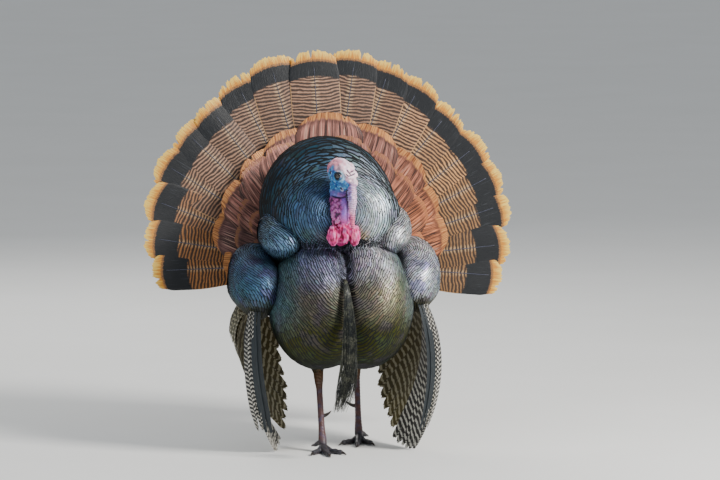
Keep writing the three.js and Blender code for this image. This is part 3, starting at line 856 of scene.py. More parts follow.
def thighGap(points):
    return np.full(points.shape[:-1], thighSet["gap"])


def outsideBody(points):
    return ~inside(bodyForm, points, thighSet["under"])


def addThighFeathers(material):
    for side, leg in legs.items():
        name = f"feathers_thigh_{side}"
        tractPiece(name, thighForm(leg), thighTile, thighGap, thighTint, outsideBody, material, seed=37)


# the skin: one closed surface of head, neck, trunk, wing roots and legs

skinSet = {
    "coatDepth": 9.0,  # how far the trunk's skin lies inside the feathers' outer surface
    "voxel": 1.05, "easing": 5, "legEasing": 2,
    "skull": [
        (-38, -4, 9, 10), (-30, -2, 18, 19), (-16, 1, 23.5, 25.5), (-2, 1.5, 24.5, 27), (10, 0, 23, 25),
        (20, -3, 19, 21), (30, -6, 13, 14.5), (35, -8, 9, 11),
    ],
    "neck": [
        (-5, -120, 566, 17, 17), (-5, -137, 546, 21, 21), (-5, -146, 516, 21.5, 21.5),
        (-5, -149, 482, 20, 19.5),
        (-4, -136, 450, 15, 12), (-3, -108, 424, 12, 10),
    ],
    "wattles": [  # hanging fleshy bulbs: place and radii
        ((-22.7, -165, 452.5), (11.6, 14.5, 20.5)), ((-9.4, -167, 456), (4, 8, 12)),
        ((1.6, -169, 452), (8.4, 11.5, 17)), ((20.4, -167, 452.5), (11, 14, 21)),
        ((10, -162, 462), (6, 9, 15)), ((-2, -157, 474), (14, 11, 14)),
    ],
    "browFolds": [((12, 13, 19), (10, 5, 4)), ((22, 6, 11), (8, 6, 5)), ((-4, 14, 22), (10, 6, 4))],
    "snoodRoot": [(18, 1, 15, 5, 5), (31, 2, 15, 6.4, 6.4)],  # its first stations, along the head's own axes
    "snood": [
        (14, -185, 548, 8.8, 8.4), (13.6, -189, 528, 8.8, 8.5), (13.4, -190.5, 508, 6.6, 6.8),
        (13.6, -190, 492, 5.2, 5.4), (14, -188, 478, 4.4, 4.4), (15, -184, 466, 4.4, 4.0),
    ],
}

legs = {
    "right": {"foot": (-33, -74), "hock": (-35, -8, 152), "hip": (-50, 20, 250), "side": -1, "turn": 4},
    "left": {"foot": (57, 62), "hock": (57, 112, 158), "hip": (62, 60, 258), "side": 1, "turn": -10},
}
tarsus = {
    "ankleHeight": 20, "ankleBack": 6,
    "stations": [  # place from hock to ankle, half-width across and half-depth front to back
        (-0.16, 9.975, 12.075), (-0.03, 10.29, 12.6), (0.09, 9.03, 11.55),
        (0.22, 6.6, 8.58), (0.5, 6.204, 8.052),
        (0.8, 6.6, 8.25), (1, 8.6, 9.288), (1.12, 6.02, 6.02),
    ],
}
toes = {"inner": (34, 50, 7.0), "middle": (0, 70, 7.4), "outer": (-36, 53, 7.0)}  # angle, length, half-width
toeJoints = (0.36, 0.66, 0.9)  # shares of the length
hindToe = {
    "angle": 156, "length": 30,
    "stations": [(-3, 24, 5.2, 6), (16, 17.5, 4.6, 4.8), (24, 13.5, 4.4, 4.2), (31, 10.5, 3, 3)],
}
thighFlesh = [(0, 34, 38), (0.4, 25, 28), (0.75, 12, 14), (0.96, 8.5, 10)]  # the same, from hip to hock


def egg(centre, radii, axes=np.eye(3), rings=20, sides=28):
    tilt = np.linspace(0, np.pi, rings)[:, None]
    turn = np.linspace(0, 2 * np.pi, sides, endpoint=False)[None]
    east, north = np.sin(tilt) * np.cos(turn), np.sin(tilt) * np.sin(turn)
    ball = np.stack(np.broadcast_arrays(east, north, np.cos(tilt)), -1)
    return closedTube(np.array(centre, float) + (ball * radii) @ np.array(axes, float))


def headTube(stations, rings, sides, rounded=0.12):
    line = np.array([(*onHead(forward, 0, up), wide, high) for forward, up, wide, high in stations])
    return closedTube(tubeGrid(line, rings, sides, headAxes[1], rounded))


def headShapes():
    s = skinSet
    shapes = [headTube(s["skull"], 30, 32), closedTube(tubeGrid(s["neck"], 40, 32, rounded=0.05))]
    shapes += [egg(at, radii) for at, radii in s["wattles"]]
    for side in (1, -1):
        for (forward, left, up), radii in s["browFolds"]:
            shapes.append(egg(onHead(forward, side * left, up), radii, headAxes))
    root = [(*onHead(*station[:3]), *station[3:]) for station in s["snoodRoot"]]
    snood = root + s["snood"]
    return shapes + [closedTube(tubeGrid(snood, 40, 20, rounded=0.08))]


def toePoint(leg, angle, away, height):
    heading = np.radians(leg["turn"] + leg["side"] * angle)
    return (leg["foot"][0] + np.sin(heading) * away, leg["foot"][1] - np.cos(heading) * away, height)


def ankle(leg):
    return (leg["foot"][0], leg["foot"][1] + tarsus["ankleBack"], tarsus["ankleHeight"])


def between(first, last, t):
    return tuple(mix(np.array(first, float), np.array(last, float), t))


def legLine(first, last, stations):  # stations along a bone, each with its place and two half-widths
    return [(*between(first, last, place), wide, deep) for place, wide, deep in stations]


def legShapes(leg):
    shapes = [closedTube(tubeGrid(legLine(leg["hock"], ankle(leg), tarsus["stations"]), 60, 24, rounded=0.04))]
    for angle, length, wide in toes.values():
        toe = [(*toePoint(leg, angle, -4, 13), wide * 0.9, 8)]
        toe.append((*toePoint(leg, angle, length * 0.12, 9.5), wide, 8))
        for joint in toeJoints:  # a toe swells at each joint and narrows past it
            on = toePoint(leg, angle, length * joint, 6.2 - joint)
            past = toePoint(leg, angle, length * (joint + 0.14), 5.4 - joint)
            toe.append((*on, wide * (0.98 - 0.28 * joint), 6.6 - 1.6 * joint))
            toe.append((*past, wide * (0.78 - 0.24 * joint), 5.6 - 1.6 * joint))
        shapes.append(closedTube(tubeGrid(toe, 44, 18, rounded=0.1)))
    stations = hindToe["stations"]
    hind = [(*toePoint(leg, hindToe["angle"], away, up), wide, deep) for away, up, wide, deep in stations]
    return shapes + [closedTube(tubeGrid(hind, 24, 16, rounded=0.15))]


def placesOf(mesh):  # the points of a mesh in the bird's frame, in millimetres
    flat = np.empty(len(mesh.vertices) * 3, np.float32)
    mesh.vertices.foreach_get("co", flat)
    return flat.reshape(-1, 3).astype(float) * 1000 - shift


def normalsOf(mesh):
    flat = np.empty(len(mesh.vertices) * 3, np.float32)
    mesh.vertices.foreach_get("normal", flat)
    return flat.reshape(-1, 3).astype(float)


def movePoints(mesh, points):
    mesh.vertices.foreach_set("co", inFrame(points).astype(np.float32).ravel())
    mesh.update()


def applied(piece):  # the piece with its modifiers made part of its mesh
    graph = bpy.context.evaluated_depsgraph_get()
    made = bpy.data.meshes.new_from_object(piece.evaluated_get(graph))
    piece.modifiers.clear()
    piece.data = made
    return piece


def grownTogether(name, shapes, voxel, easing):  # shapes that overlap, remade as one smooth surface
    piece = addPiece(name, *joined(shapes), None)
    remesh = piece.modifiers.new("grow together", "REMESH")
    remesh.mode, remesh.voxel_size, remesh.adaptivity = "VOXEL", voxel / 1000, 0.0
    ease = piece.modifiers.new("ease", "SMOOTH")
    ease.factor, ease.iterations = 0.5, easing
    return applied(piece)


outOfReach = 99.0  # a distance that no marking reaches
earAt = (-13, -3)  # forward and up from the head's centre
gape = (-6.2, -166.5, 547.5)  # the corner of the mouth
browLines = [  # in x and z
    ((5, 585), (11, 577)), ((8, 573), (21, 577)), ((12, 581), (21, 584)), ((3, 577), (8, 573)),
]
snoodLine = (13.8, -189)  # where the hanging snood's middle is, in x and y


# distance from the eye's centre over the side of the head, in an almond's own measure
def eyeGap(head, wide=1.12, tall=0.94):
    forward, left, up = headSet["eye"]
    turned = (head[:, 0] - forward) * 0.96 + (head[:, 2] - up) * 0.28
    risen = (head[:, 2] - up) * 0.96 - (head[:, 0] - forward) * 0.28
    return np.where(np.abs(head[:, 1]) > 9, np.hypot(turned / wide, risen / tall), outOfReach)


def earGap(head, tall):  # distance from the ear hole over the side of the head
    forward, up = earAt
    gap = np.hypot(head[:, 0] - forward, (head[:, 2] - up) / tall)
    return np.where(np.abs(head[:, 1]) > 6, gap, outOfReach)


def pickKnobs(points, mask, count, seed):
    draw = np.random.default_rng(seed)
    return points[draw.choice(np.flatnonzero(mask), count, replace=False)]


def gapeGap(points):  # distance from the mouth's corner in the measure of a short slanting slit
    x, y, z = (points - np.array(gape)).T
    along, over = 0.55 * x - 0.83 * z, 0.83 * x + 0.55 * z
    return np.hypot(np.hypot(along / 2.6, over / 1.1), y / 5)


def browGap(points):  # distance from the nearest crease between the eyes, over the front of the brow
    flat = points[:, [0, 2]]
    nearest = np.full(len(points), outOfReach)
    for first, last in np.array(browLines, float):
        step = last - first
        share = np.clip((flat - first) @ step / (step @ step), 0, 1)
        nearest = np.minimum(nearest, np.linalg.norm(flat - first - share[:, None] * step, axis=1))
    return np.where(points[:, 1] < -158, nearest, outOfReach)


def throatGap(x, z):  # height above the fold of the throat, where the head meets the neck
    return z - 530.5 - 1.5 * np.sin(x * 0.16)


def neckStrip(x):  # 1 along the smooth strip down the front of the neck
    return np.exp(-(((x - 1) / 8) ** 4))


relief = {  # how far each feature stands out (or is sunk), and its size, in millimetres
    "lid": -3.4, "lidRim": 1.3, "lidFurrow": -0.9, "secondFold": 0.5, "earRim": 0.8, "earHole": -2.6,
    "gapeRim": 1.0, "gapeSlit": -2.4, "browCrease": -1.7, "crownLumps": (1.7, 7.5, 64), "warts": (1.5, 3.6, 190),
    "throatRoll": 1.2, "throatFold": -2.4, "neckKnobs": (1.5, 4.3, 380), "wattleBulbs": (1.1, 6.0, 90),
    "wattleWrinkles": 1.3, "snoodRings": 0.6, "snoodLumps": 0.9,
}


# lids, ear, folds and caruncles, as moves along the surface's normals; returns the points and how far each part
# stands out of its surroundings
def shapeHead(mesh):
    points, normals = placesOf(mesh), normalsOf(mesh)
    head = fromHead(points)
    up = head[:, 2]
    x, y, z = points.T
    r = relief
    onSkull = smooth(524, 536, z)
    gap = eyeGap(head)
    # lids: an opening over the eyeball, a thick rim, a furrow and a second soft fold
    out = r["lid"] * smooth(5.0, 3.6, gap)
    rim, furrow, fold = bell(gap, 5.8, 1.1), bell(gap, 8.4, 0.9), bell(gap, 10.6, 1.2)
    out += r["lidRim"] * rim + r["lidFurrow"] * furrow + r["secondFold"] * fold
    # the ear hole behind the eye, with a low rim
    ear = earGap(head, 1.3)
    out += r["earRim"] * bell(ear, 4.8, 1.2) + r["earHole"] * smooth(3.6, 1.6, ear)
    # the corner of the mouth: a short slit with a raised rim
    corner = gapeGap(points)
    out += r["gapeRim"] * bell(corner, 2.2, 0.6) + r["gapeSlit"] * smooth(1.4, 0.5, corner)
    # creases across the crown, and rounded lumps between them
    crown = onSkull * smooth(7, 14, up) * smooth(9, 13, gap)
    high, size, count = r["crownLumps"]
    out += crown * (high * knobs(points, pickKnobs(points, crown > 0.5, count, 3), size) - 1.6)
    out += r["browCrease"] * smooth(1.9, 0.6, browGap(points))
    # fine warts on the face and throat
    face = onSkull * smooth(12, 4, up) * smooth(11, 14, gap)
    high, size, count = r["warts"]
    out += face * (high * knobs(points, pickKnobs(points, face > 0.5, count, 4), size) - 0.4)
    # the fold of the throat
    snoodSide = np.hypot(x - snoodLine[0], y - snoodLine[1]) < 10.5
    front = smooth(-146, -154, y) * (np.abs(x) < 26) * ~snoodSide
    fold = throatGap(x, z)
    out += front * (r["throatRoll"] * bell(fold, 4.6, 2.6) + r["throatFold"] * bell(fold, 0, 1.3))
    # caruncles on the neck, larger and closer toward the wattles
    bare = smooth(530, 525, z) * smooth(462, 476, z) * ~snoodSide
    strip = neckStrip(x)
    rough = mix(1.5, 2.1, smooth(520, 490, z)) * (1 - 0.75 * strip)
    high, size, count = r["neckKnobs"]
    out += bare * rough * (high * knobs(points, pickKnobs(points, bare > 0.5, count, 5), size) - 0.8)
    lengthwise = points * (1, 1, 0.35)
    out += bare * strip * 0.5 * ripple(lengthwise, 5, 9)
    # wrinkles down the wattles and round the snood
    wattle = smooth(478, 466, z) * (y < -140)
    high, size, count = r["wattleBulbs"]
    bulbs = knobs(points, pickKnobs(points, wattle > 0.5, count, 7), size)
    out += wattle * (r["wattleWrinkles"] * ripple(lengthwise, 7, 6) + high * bulbs - 0.5)
    rings = np.sin(z * 2 * np.pi / 4.6 + 1.2 * np.sin(x * 0.5))
    out += snoodSide * r["snoodRings"] * rings * smooth(560, 548, z)
    out += snoodSide * r["snoodLumps"] * ripple(points, 7, 8)
    moved = points + normals * out[:, None]
    movePoints(mesh, moved)
    return moved, out


scutes = {"shank": 6.4, "toe": 4.6, "deep": 1.5, "toeDeep": 1.4, "behind": 0.7}  # spacing and height in mm


# scutes: grooves across the front of each shank and the top of each toe, as a root of the size of a sine, and
# small scales behind
def shapeLegs(mesh):
    points, normals = placesOf(mesh), normalsOf(mesh)
    s = scutes
    out = np.zeros(len(points))
    for leg in legs.values():
        near = far(points[:, :2], leg["foot"]) < 120
        ankleAt = np.array(ankle(leg))
        along = unit(np.array(leg["hock"], float) - ankleAt)
        height = (points - ankleAt) @ along
        shank = near * smooth(2, 10, height) * smooth(150, 138, height)
        front = smooth(-0.35, 0.3, -normals[:, 1])
        groove = np.abs(np.sin(np.pi * (height / s["shank"] + 0.16 * np.sin(normals[:, 0] * 4)))) ** 0.35
        out += shank * front * (groove - 0.75) * s["deep"]
        scales = np.abs(np.sin(height * 1.05) * np.sin(points[:, 0] * 1.3)) ** 0.4
        out += shank * (1 - front) * s["behind"] * (scales - 0.6)
        reached = far(points[:, :2], leg["foot"])
        toe = near * smooth(14, 22, reached) * smooth(0.1, 0.5, normals[:, 2]) * smooth(24, 18, points[:, 2])
        out += toe * (np.abs(np.sin(np.pi * reached / s["toe"])) ** 0.35 - 0.75) * s["toeDeep"]
    moved = points + normals * out[:, None]
    moved[:, 2] = np.maximum(moved[:, 2], 0)
    movePoints(mesh, moved)


def starSkin(form, rings, sides, grow):
    theta = np.linspace(0.004, np.pi - 0.004, rings)[:, None]
    phi = np.linspace(0, 2 * np.pi, sides, endpoint=False)[None]
    return closedTube(bent(form, onForm(form, direction(form, theta, phi), grow)))


# in these colours the hollows, creases, ear and mouth slit are painted shade, and the colours of raised warts, knobs
# and bulbs painted highlight
headColours = {
    "crown": (252, 226, 240), "blush": (224, 138, 172), "nape": (214, 108, 132), "crownHollowShade": (120, 70, 96),
    "browCrease": (62, 38, 62), "azure": (52, 146, 206), "deepBlue": (14, 78, 158), "wartHighlight": (132, 190, 224),
    "faceHollowShade": (10, 40, 96), "eyeRing": (150, 200, 228), "lid": (16, 52, 84), "lidEdge": (8, 20, 32),
    "ear": (70, 18, 40), "throat": (96, 104, 184), "throatViolet": (150, 100, 176), "gapeRim": (206, 200, 232),
    "gape": (10, 14, 40), "throatFold": (40, 16, 56),
}
neckColours = {
    "sides": (160, 62, 138), "strip": (146, 104, 200), "low": (206, 62, 122), "knobHighlight": (226, 160, 216),
    "snoodShadow": (58, 24, 74), "hollow": (70, 22, 66),
}
wattleColours = {"deep": (214, 44, 124), "pale": (240, 132, 190), "hollow": (130, 16, 56)}
snoodColours = {
    "root": (222, 188, 222), "tip": (232, 108, 150), "blue": (122, 116, 200), "hollow": (146, 84, 130),
}


def paints(colours):
    return {name: paint(*colour) for name, colour in colours.items()}


# each stage lays a colour over the last by a share from 0 to 1; stands is how far the surface stands out, so
# that hollows are darker with painted shade and raised warts, knobs and bulbs lighter with painted highlight
def faceTint(points, stands, cloud, fine):
    c = paints(headColours)
    head = fromHead(points)
    forward, left, up = columnsOf(head)
    x, y, z = columnsOf(points)
    gap = eyeGap(head)[:, None]
    tone = c["crown"] * np.ones((len(points), 1))
    tone = mix(tone, c["blush"], smooth(-0.2, 0.9, cloud + 0.3 * fine) * 0.6)
    tone = mix(tone, c["nape"], smooth(2, -16, left) * smooth(0, -20, forward) * 0.8)
    # painted shade in the creases between the crown's lumps
    tone = mix(tone, c["crownHollowShade"], smooth(-0.9, -2.0, stands) * 0.8)
    # painted shade in the creases between the eyes
    tone = mix(tone, c["browCrease"], smooth(1.9, 0.8, browGap(points)[:, None]) * 0.9)
    blue = smooth(15, 8, up + 2 * cloud) * smooth(-25, -17, forward) * smooth(520, 530, z)
    tone = mix(tone, mix(c["azure"], c["deepBlue"], smooth(-0.5, 0.7, cloud + 0.6 * fine)), blue)
    # painted highlight on the raised warts, and painted shade in the sunk spots between them
    tone = mix(tone, c["wartHighlight"], blue * smooth(0.35, 1.0, stands) * smooth(10.5, 13.5, gap) * 0.6)
    tone = mix(tone, c["faceHollowShade"], blue * smooth(-0.1, -0.8, stands) * 0.8)
    ahead = smooth(-2, 8, (forward - headSet["eye"][0]) * 0.7 + (up - headSet["eye"][2]) * 0.9)
    tone = mix(tone, c["eyeRing"], smooth(14.0, 11.0, gap) * smooth(7.0, 8.6, gap) * ahead * 0.85)
    tone = mix(tone, c["lid"], smooth(10.2, 7.6, gap) * (1 - 0.7 * ahead))
    tone = mix(tone, c["lidEdge"], smooth(8.2, 6.0, eyeGap(head, 0.9, 1.3)[:, None]))
    # painted shade in the ear hole
    tone = mix(tone, c["ear"], smooth(4.4, 2.6, earGap(head, 1.0)[:, None]))
    throat = smooth(546, 538, z + 2 * cloud) * smooth(-140, -150, y)
    tone = mix(tone, mix(c["throat"], c["throatViolet"], smooth(-0.4, 0.8, cloud)), throat)
    corner = gapeGap(points)[:, None]
    behind = smooth(-1.0, 1.5, x - gape[0] - 0.4 * (z - gape[2]))
    tone = mix(tone, c["gapeRim"], smooth(3.1, 2.3, corner) * behind * 0.8)
    # painted shade in the slit at the mouth's corner
    return mix(tone, c["gape"], smooth(1.9, 1.0, corner))


def neckTint(x, z, stands, cloud):
    c = paints(neckColours)
    strip = neckStrip(x)
    tone = mix(c["sides"], c["strip"], np.clip(strip + 0.3 * cloud, 0, 1))
    tone = mix(tone, c["low"], smooth(500, 474, z) * 0.6)
    # painted highlight on the tops of the knobs
    tone = mix(tone, c["knobHighlight"], smooth(0.5, 1.5, stands) * 0.65)
    tone = mix(tone, c["snoodShadow"], bell(x, 6.2, 1.7) * smooth(474, 486, z) * 0.9)
    # painted shade in the hollows between the knobs, less on the smooth strip
    return mix(tone, c["hollow"], smooth(0.1, -0.9, stands) * (0.95 - 0.5 * strip))


def wattleTint(stands, cloud):
    c = paints(wattleColours)
    # paler where the bulbs stand out: painted highlight over the flesh's mottling
    tone = mix(c["deep"], c["pale"], smooth(-0.5, 1.5, stands + 0.8 * cloud))
    # painted shade in the folds between the bulbs
    return mix(tone, c["hollow"], smooth(-0.3, -1.3, stands))


def snoodTint(x, z, stands, cloud, fine):
    c = paints(snoodColours)
    tone = mix(c["root"], c["tip"], smooth(516, 486, z + 4 * cloud))
    tone = mix(tone, c["blue"], smooth(14, 9, x + 3 * fine) * smooth(512, 536, z) * 0.75)
    # painted shade in the snood's furrows
    return mix(tone, c["hollow"], smooth(-0.1, -1.0, stands) * 0.7)


def headTint(points, stands):  # the face, then the neck, the fold between, the wattles and the snood over it
    x, y, z = columnsOf(points)
    stands = stands[:, None]
    cloud = ripple(points, 13, 21)[:, None]
    fine = ripple(points, 5, 22)[:, None]
    fold = throatGap(x, z)
    tone = faceTint(points, stands, cloud, fine)
    neck = smooth(531.5, 527.5, z) * smooth(60, 30, far(points, (-5, -150, 500))[:, None])
    tone = mix(tone, neckTint(x, z, stands, cloud), neck)
    # painted shade in the fold of the throat
    tone = mix(tone, paint(*headColours["throatFold"]), bell(fold, 0, 1.5) * smooth(-146, -154, y))
    tone = mix(tone, wattleTint(stands, cloud), smooth(480, 470, z + 2 * cloud))
    snood = smooth(12.5, 9.5, np.hypot(x - snoodLine[0], y - snoodLine[1])) * smooth(566, 556, z)
    return mix(tone, snoodTint(x, z, stands, cloud, fine), snood)


legColours = {"red": (98, 68, 66), "violet": (88, 76, 98), "hock": (96, 70, 46), "foot": (56, 54, 60)}


def legTint(points):
    c = paints(legColours)
    cloud = ripple(points, 16, 31)[:, None]
    z = points[:, 2:3]
    tone = mix(c["red"], c["violet"], smooth(-0.3, 0.9, cloud))
    tone = mix(tone, c["hock"], smooth(104, 150, z))
    # the feet are darker toward the floor: painted shade
    return mix(tone, c["foot"], smooth(34, 14, z))


shadeUnderCoat = {"trunk": 0.55, "wings": 0.30}  # how much of the feathers' colour the skin under them has; the darker rest is painted shade under the coat


def skinTint(points, stands):
    x, y, z = columnsOf(points)
    trunk = plumageTint(points) * shadeUnderCoat["trunk"]
    arms = wingTint(points, "right") * shadeUnderCoat["wings"]
    tone = np.where(np.abs(x) > 112, arms, trunk)
    tone = np.where(z < 172, legTint(points), tone)
    nearNeck = (np.hypot(x, y + 165) < 37) & (z > 424) & (z < 575)
    headward = (far(points, (-3, -160, 560)) < 62)[:, None] | nearNeck
    return np.where(headward, headTint(points, stands), tone)


def skinFinish():
    f = Finish("bare skin", roughness=0.42, **{"Subsurface Weight": 0.12, "Subsurface Scale": 0.004})
    grain = f.noise(f.place(), 420.0, 3.0)
    pores = f.cells(f.place(), 620.0)
    cloud = f.noise(f.place(), 120.0, 2.0)
    colour = f.shaded(f.tint(), cloud * 0.8 + 0.60)
    f.bump(grain * 0.6 + pores * 0.5, 0.0006, 0.7)
    return f.finish(colour, grain * 0.3 + 0.28)


def addSkin():
    s = skinSet
    skin = grownTogether("skin", headShapes(), s["voxel"], s["easing"])
    headPoints, stands = shapeHead(skin.data)
    legParts = [shape for leg in legs.values() for shape in legShapes(leg)]
    feet = grownTogether("feet", legParts, s["voxel"], s["legEasing"])
    shapeLegs(feet.data)
    depth = s["coatDepth"]
    others = [feet, addPiece("trunk", *starSkin(bodyForm, 70, 96, -depth), None)]
    for side in wings:
        others += [addPiece("wing root", *starSkin(form, 30, 40, -depth), None) for form in armForms(side)]
    for leg in legs.values():
        line = legLine(leg["hip"], leg["hock"], thighFlesh)
        others.append(addPiece("thigh", *closedTube(tubeGrid(line, 24, 28)), None))
    for other in others:
        join = skin.modifiers.new("join", "BOOLEAN")
        join.operation, join.object, join.solver = "UNION", other, "MANIFOLD"
    applied(skin)
    for other in others:
        bpy.data.objects.remove(other)
    mesh = skin.data
    mesh.validate()
    places = placesOf(mesh)
    standsNow = np.zeros(len(places))
    tree = KDTree(len(headPoints))
    for k, point in enumerate(headPoints):
        tree.insert(point, k)
    tree.balance()
    for k in np.flatnonzero((places[:, 2] > 415) & (places[:, 1] < -90)):  # the head and neck keep their relief
        standsNow[k] = stands[tree.find(places[k])[1]]
    addTint(mesh, skinTint(places, standsNow))
    mesh.shade_smooth()
    mesh.set_sharp_from_angle(angle=np.radians(70))
    mesh.materials.clear()
    mesh.materials.append(skinFinish())
    flesh = ["head", "neck", "wattle", "snood", "crop", "mantle", "breast", "rump"]
    for side in wings:
        flesh += [f"wing_{side}_shoulder", f"wing_{side}_arm", f"thigh_{side}", f"shank_{side}", f"foot_{side}"]
    settle(skin, "bare_skin", *flesh)
    print("skin", len(mesh.vertices), "points", len(mesh.loop_triangles), "triangles")


# eyes, bill, claws and spurs

def addTube(name, stations, rings, sides, finish, slot, node, sideAxis=(1, 0, 0), rounded=0.1, shaped=None):
    grid = tubeGrid(stations, rings, sides, sideAxis, rounded)
    if shaped:
        grid = shaped(grid)
    settle(addPiece(name, *closedTube(grid), finish), slot, node)


def hornFinish(name, pale, dark, toward):
    f = Finish(name)
    streaks = f.noise(f.place(), 300.0, 4.0)
    f.bump(streaks, 0.0003, 0.5)
    cloud = f.noise(f.place(), 60.0, 2.0)
    colour = f.colour(pale, dark, (streaks * toward + cloud * 0.7).rise(0.35, 0.95))
    return f.finish(colour, streaks * 0.25 + 0.22)


eyeSet = {  # colours, and where the pupil and the iris end, in millimetres from the front of the eye
    "pupil": (0.001, 0.001, 0.0015), "iris": (0.045, 0.020, 0.010), "fleck": (0.015, 0.008, 0.005),
    "rim": (0.004, 0.004, 0.005), "pupilEnd": (2.4, 2.8), "irisEnd": (4.0, 4.6), "sunk": 0.2,
}


# rings round the line of sight: a black pupil, a brown iris and a dark rim
def eyeFinish(side, sign):
    f = Finish(f"eye {side}", roughness=0.06, **{"Coat Weight": 1.0, "Coat Roughness": 0.03})
    e = eyeSet
    forward, left, up = headSet["eye"]
    front = tuple(inFrame(onHead(forward, sign * (left + headSet["eyeRadius"]), up)))
    place = f.place()
    gap = place.node("ShaderNodeVectorMath", (0, place), (1, front), output=1, operation="DISTANCE") * 1000.0
    iris = f.colour(e["iris"], e["fleck"], f.noise(place, 900.0, 3.0))
    colour = f.colour(e["pupil"], iris, gap.rise(*e["pupilEnd"]))
    return f.finish(f.colour(colour, e["rim"], gap.rise(*e["irisEnd"])))


def addEyes():
    forward, left, up = headSet["eye"]
    radius = headSet["eyeRadius"] - eyeSet["sunk"]
    axes = headAxes[[0, 2, 1]]  # the poles of the ball look out to the side
    for side, sign in (("right", -1), ("left", 1)):
        ball = egg(onHead(forward, sign * left, up), (radius, radius, radius), axes, 40, 48)
        settle(addPiece(f"eyeball_{side}", *ball, eyeFinish(side, sign)), "eye", f"eye_{side}")
    print("eyes")


billSet = {  # stations along the head's own axes: forward, up, half-width and half-height
    "upper": [
        (26, -6, 9.0, 8.6), (36, -7, 8.6, 8.2), (46, -9.5, 7.2, 7.0), (56, -14, 5.2, 5.2),
        (62, -18.5, 3.2, 3.6), (66, -22.5, 1.3, 1.6),
    ],
    "lower": [
        (24, -18, 8.0, 4.8), (34, -18.5, 7.6, 4.4), (44, -19.6, 6.4, 3.8), (53, -22.2, 4.2, 2.8),
        (59, -25, 1.4, 1.4),
    ],
    "nostril": {"forward": (38, 3.0), "up": (-7, 1.3), "deep": 1.8},
    # the horn is darkened toward violet: painted shade of the snood that hangs over the bill
    "pale": paint(76, 62, 88), "dark": paint(50, 42, 66),
}


def withNostrils(grid):  # a shallow slit low on each side of the upper bill
    n = billSet["nostril"]
    head = fromHead(grid.reshape(-1, 3))
    hollow = bell(head[:, 0], *n["forward"]) * bell(head[:, 2], *n["up"])
    inward = -np.sign(head[:, 1])[:, None] * headAxes[1] * n["deep"]
    return grid + (inward * hollow[:, None]).reshape(grid.shape)


def addBill():
    horn = hornFinish("bill horn", billSet["pale"], billSet["dark"], 0.8)
    for half, shaped in (("upper", withNostrils), ("lower", None)):
        line = np.array([(*onHead(forward, 0, up), wide, high) for forward, up, wide, high in billSet[half]])
        addTube(f"horn_{half}", line, 60, 32, horn, "bill_horn", f"bill_{half}", headAxes[1], 0.08, shaped)
    print("bill")


clawSet = {
    "pale": paint(92, 80, 74), "dark": paint(34, 28, 28), "height": 4.4, "hindHeight": 11, "clear": 0.02,
    "stations": [(-3, 0.2, 2.9, 2.9), (3, 0.2, 2.6, 2.8), (8, -1.2, 1.9, 2.0)],  # past the toe's end, up, radii
    "tip": (13, 3.2, 1.5, 0.7, 0.8),  # past the toe's end, how far down, the lowest it comes, and radii
}
spurSet = {  # back, inward and up from its root, which is a share of the way from hock to ankle, and radius
    "root": 0.6, "stations": [(2, 3, -2, 5.0), (8, 9, -2, 3.9), (13, 16, 0.5, 2.8), (18, 24, 6, 0.7)],
}


def overFloor(grid):
    return np.maximum(grid, (-np.inf, -np.inf, clawSet["clear"]))


def clawLine(leg, angle, length, height):
    line = [
        (*toePoint(leg, angle, length + on, height + up), wide, high)
        for on, up, wide, high in clawSet["stations"]
    ]
    on, down, lowest, wide, high = clawSet["tip"]
    return line + [(*toePoint(leg, angle, length + on, max(lowest, height - down)), wide, high)]


def addClawsAndSpurs():
    horn = hornFinish("claw horn", clawSet["pale"], clawSet["dark"], 0.9)
    for side, leg in legs.items():
        claws = {name: (angle, length, clawSet["height"]) for name, (angle, length, _) in toes.items()}
        claws["hind"] = (hindToe["angle"], hindToe["length"], clawSet["hindHeight"])
        for name, place in claws.items():
            line = clawLine(leg, *place)
            nail, node = f"nail_{side}_{name}", f"claw_{side}_{name}"
            addTube(nail, line, 24, 16, horn, "claw_horn", node, rounded=0.12, shaped=overFloor)
        root = np.array(between(leg["hock"], ankle(leg), spurSet["root"]))
        spur = [
            (*(root + (-leg["side"] * inward, back, up)), radius, radius)
            for back, inward, up, radius in spurSet["stations"]
        ]
        addTube(f"horn_spur_{side}", spur, 30, 18, horn, "claw_horn", f"spur_{side}", rounded=0.1)
    print("claws and spurs")


# large vanes: each is a grid across and along one feather, with its shaft

vaneReach = 400.0  # the length in millimetres that a vane's own map is measured by


# across is 0 to 1 over the vane, fromTip the distance to the nominal tip in millimetres; the bake map sets the
# vanes side by side
def vanePiece(name, middle, across, fromTip, material, slot, tint, thickness, odds, nodes=()):
    count = len(middle)
    points, quads = pillow(middle, thickness)
    vane = np.stack([np.broadcast_to(across, middle.shape[:3]), fromTip / vaneReach], -1)
    lengthwise = (fromTip - fromTip.min()) / np.ptp(fromTip)
    column = np.arange(count)[:, None, None] / count
    bake = np.stack([column + (0.03 + 0.94 * vane[..., 0]) / count, 0.01 + 0.98 * lengthwise], -1)
    fill = np.ones(middle.shape[:3])
    piece = addPiece(
        name, points, [quads], material, sharp=50,
        uvs={"vane": pillowValues(vane), "OFBake": pillowValues(bake)},
        tint=pillowValues(tint[:, None, None, :] * fill[..., None]),
        values={"odds": pillowValues(odds[:, None, None] * fill)},
    )
    settle(piece, slot, *nodes)
    print(name, count, "vanes", len(quads) * 2, "triangles")


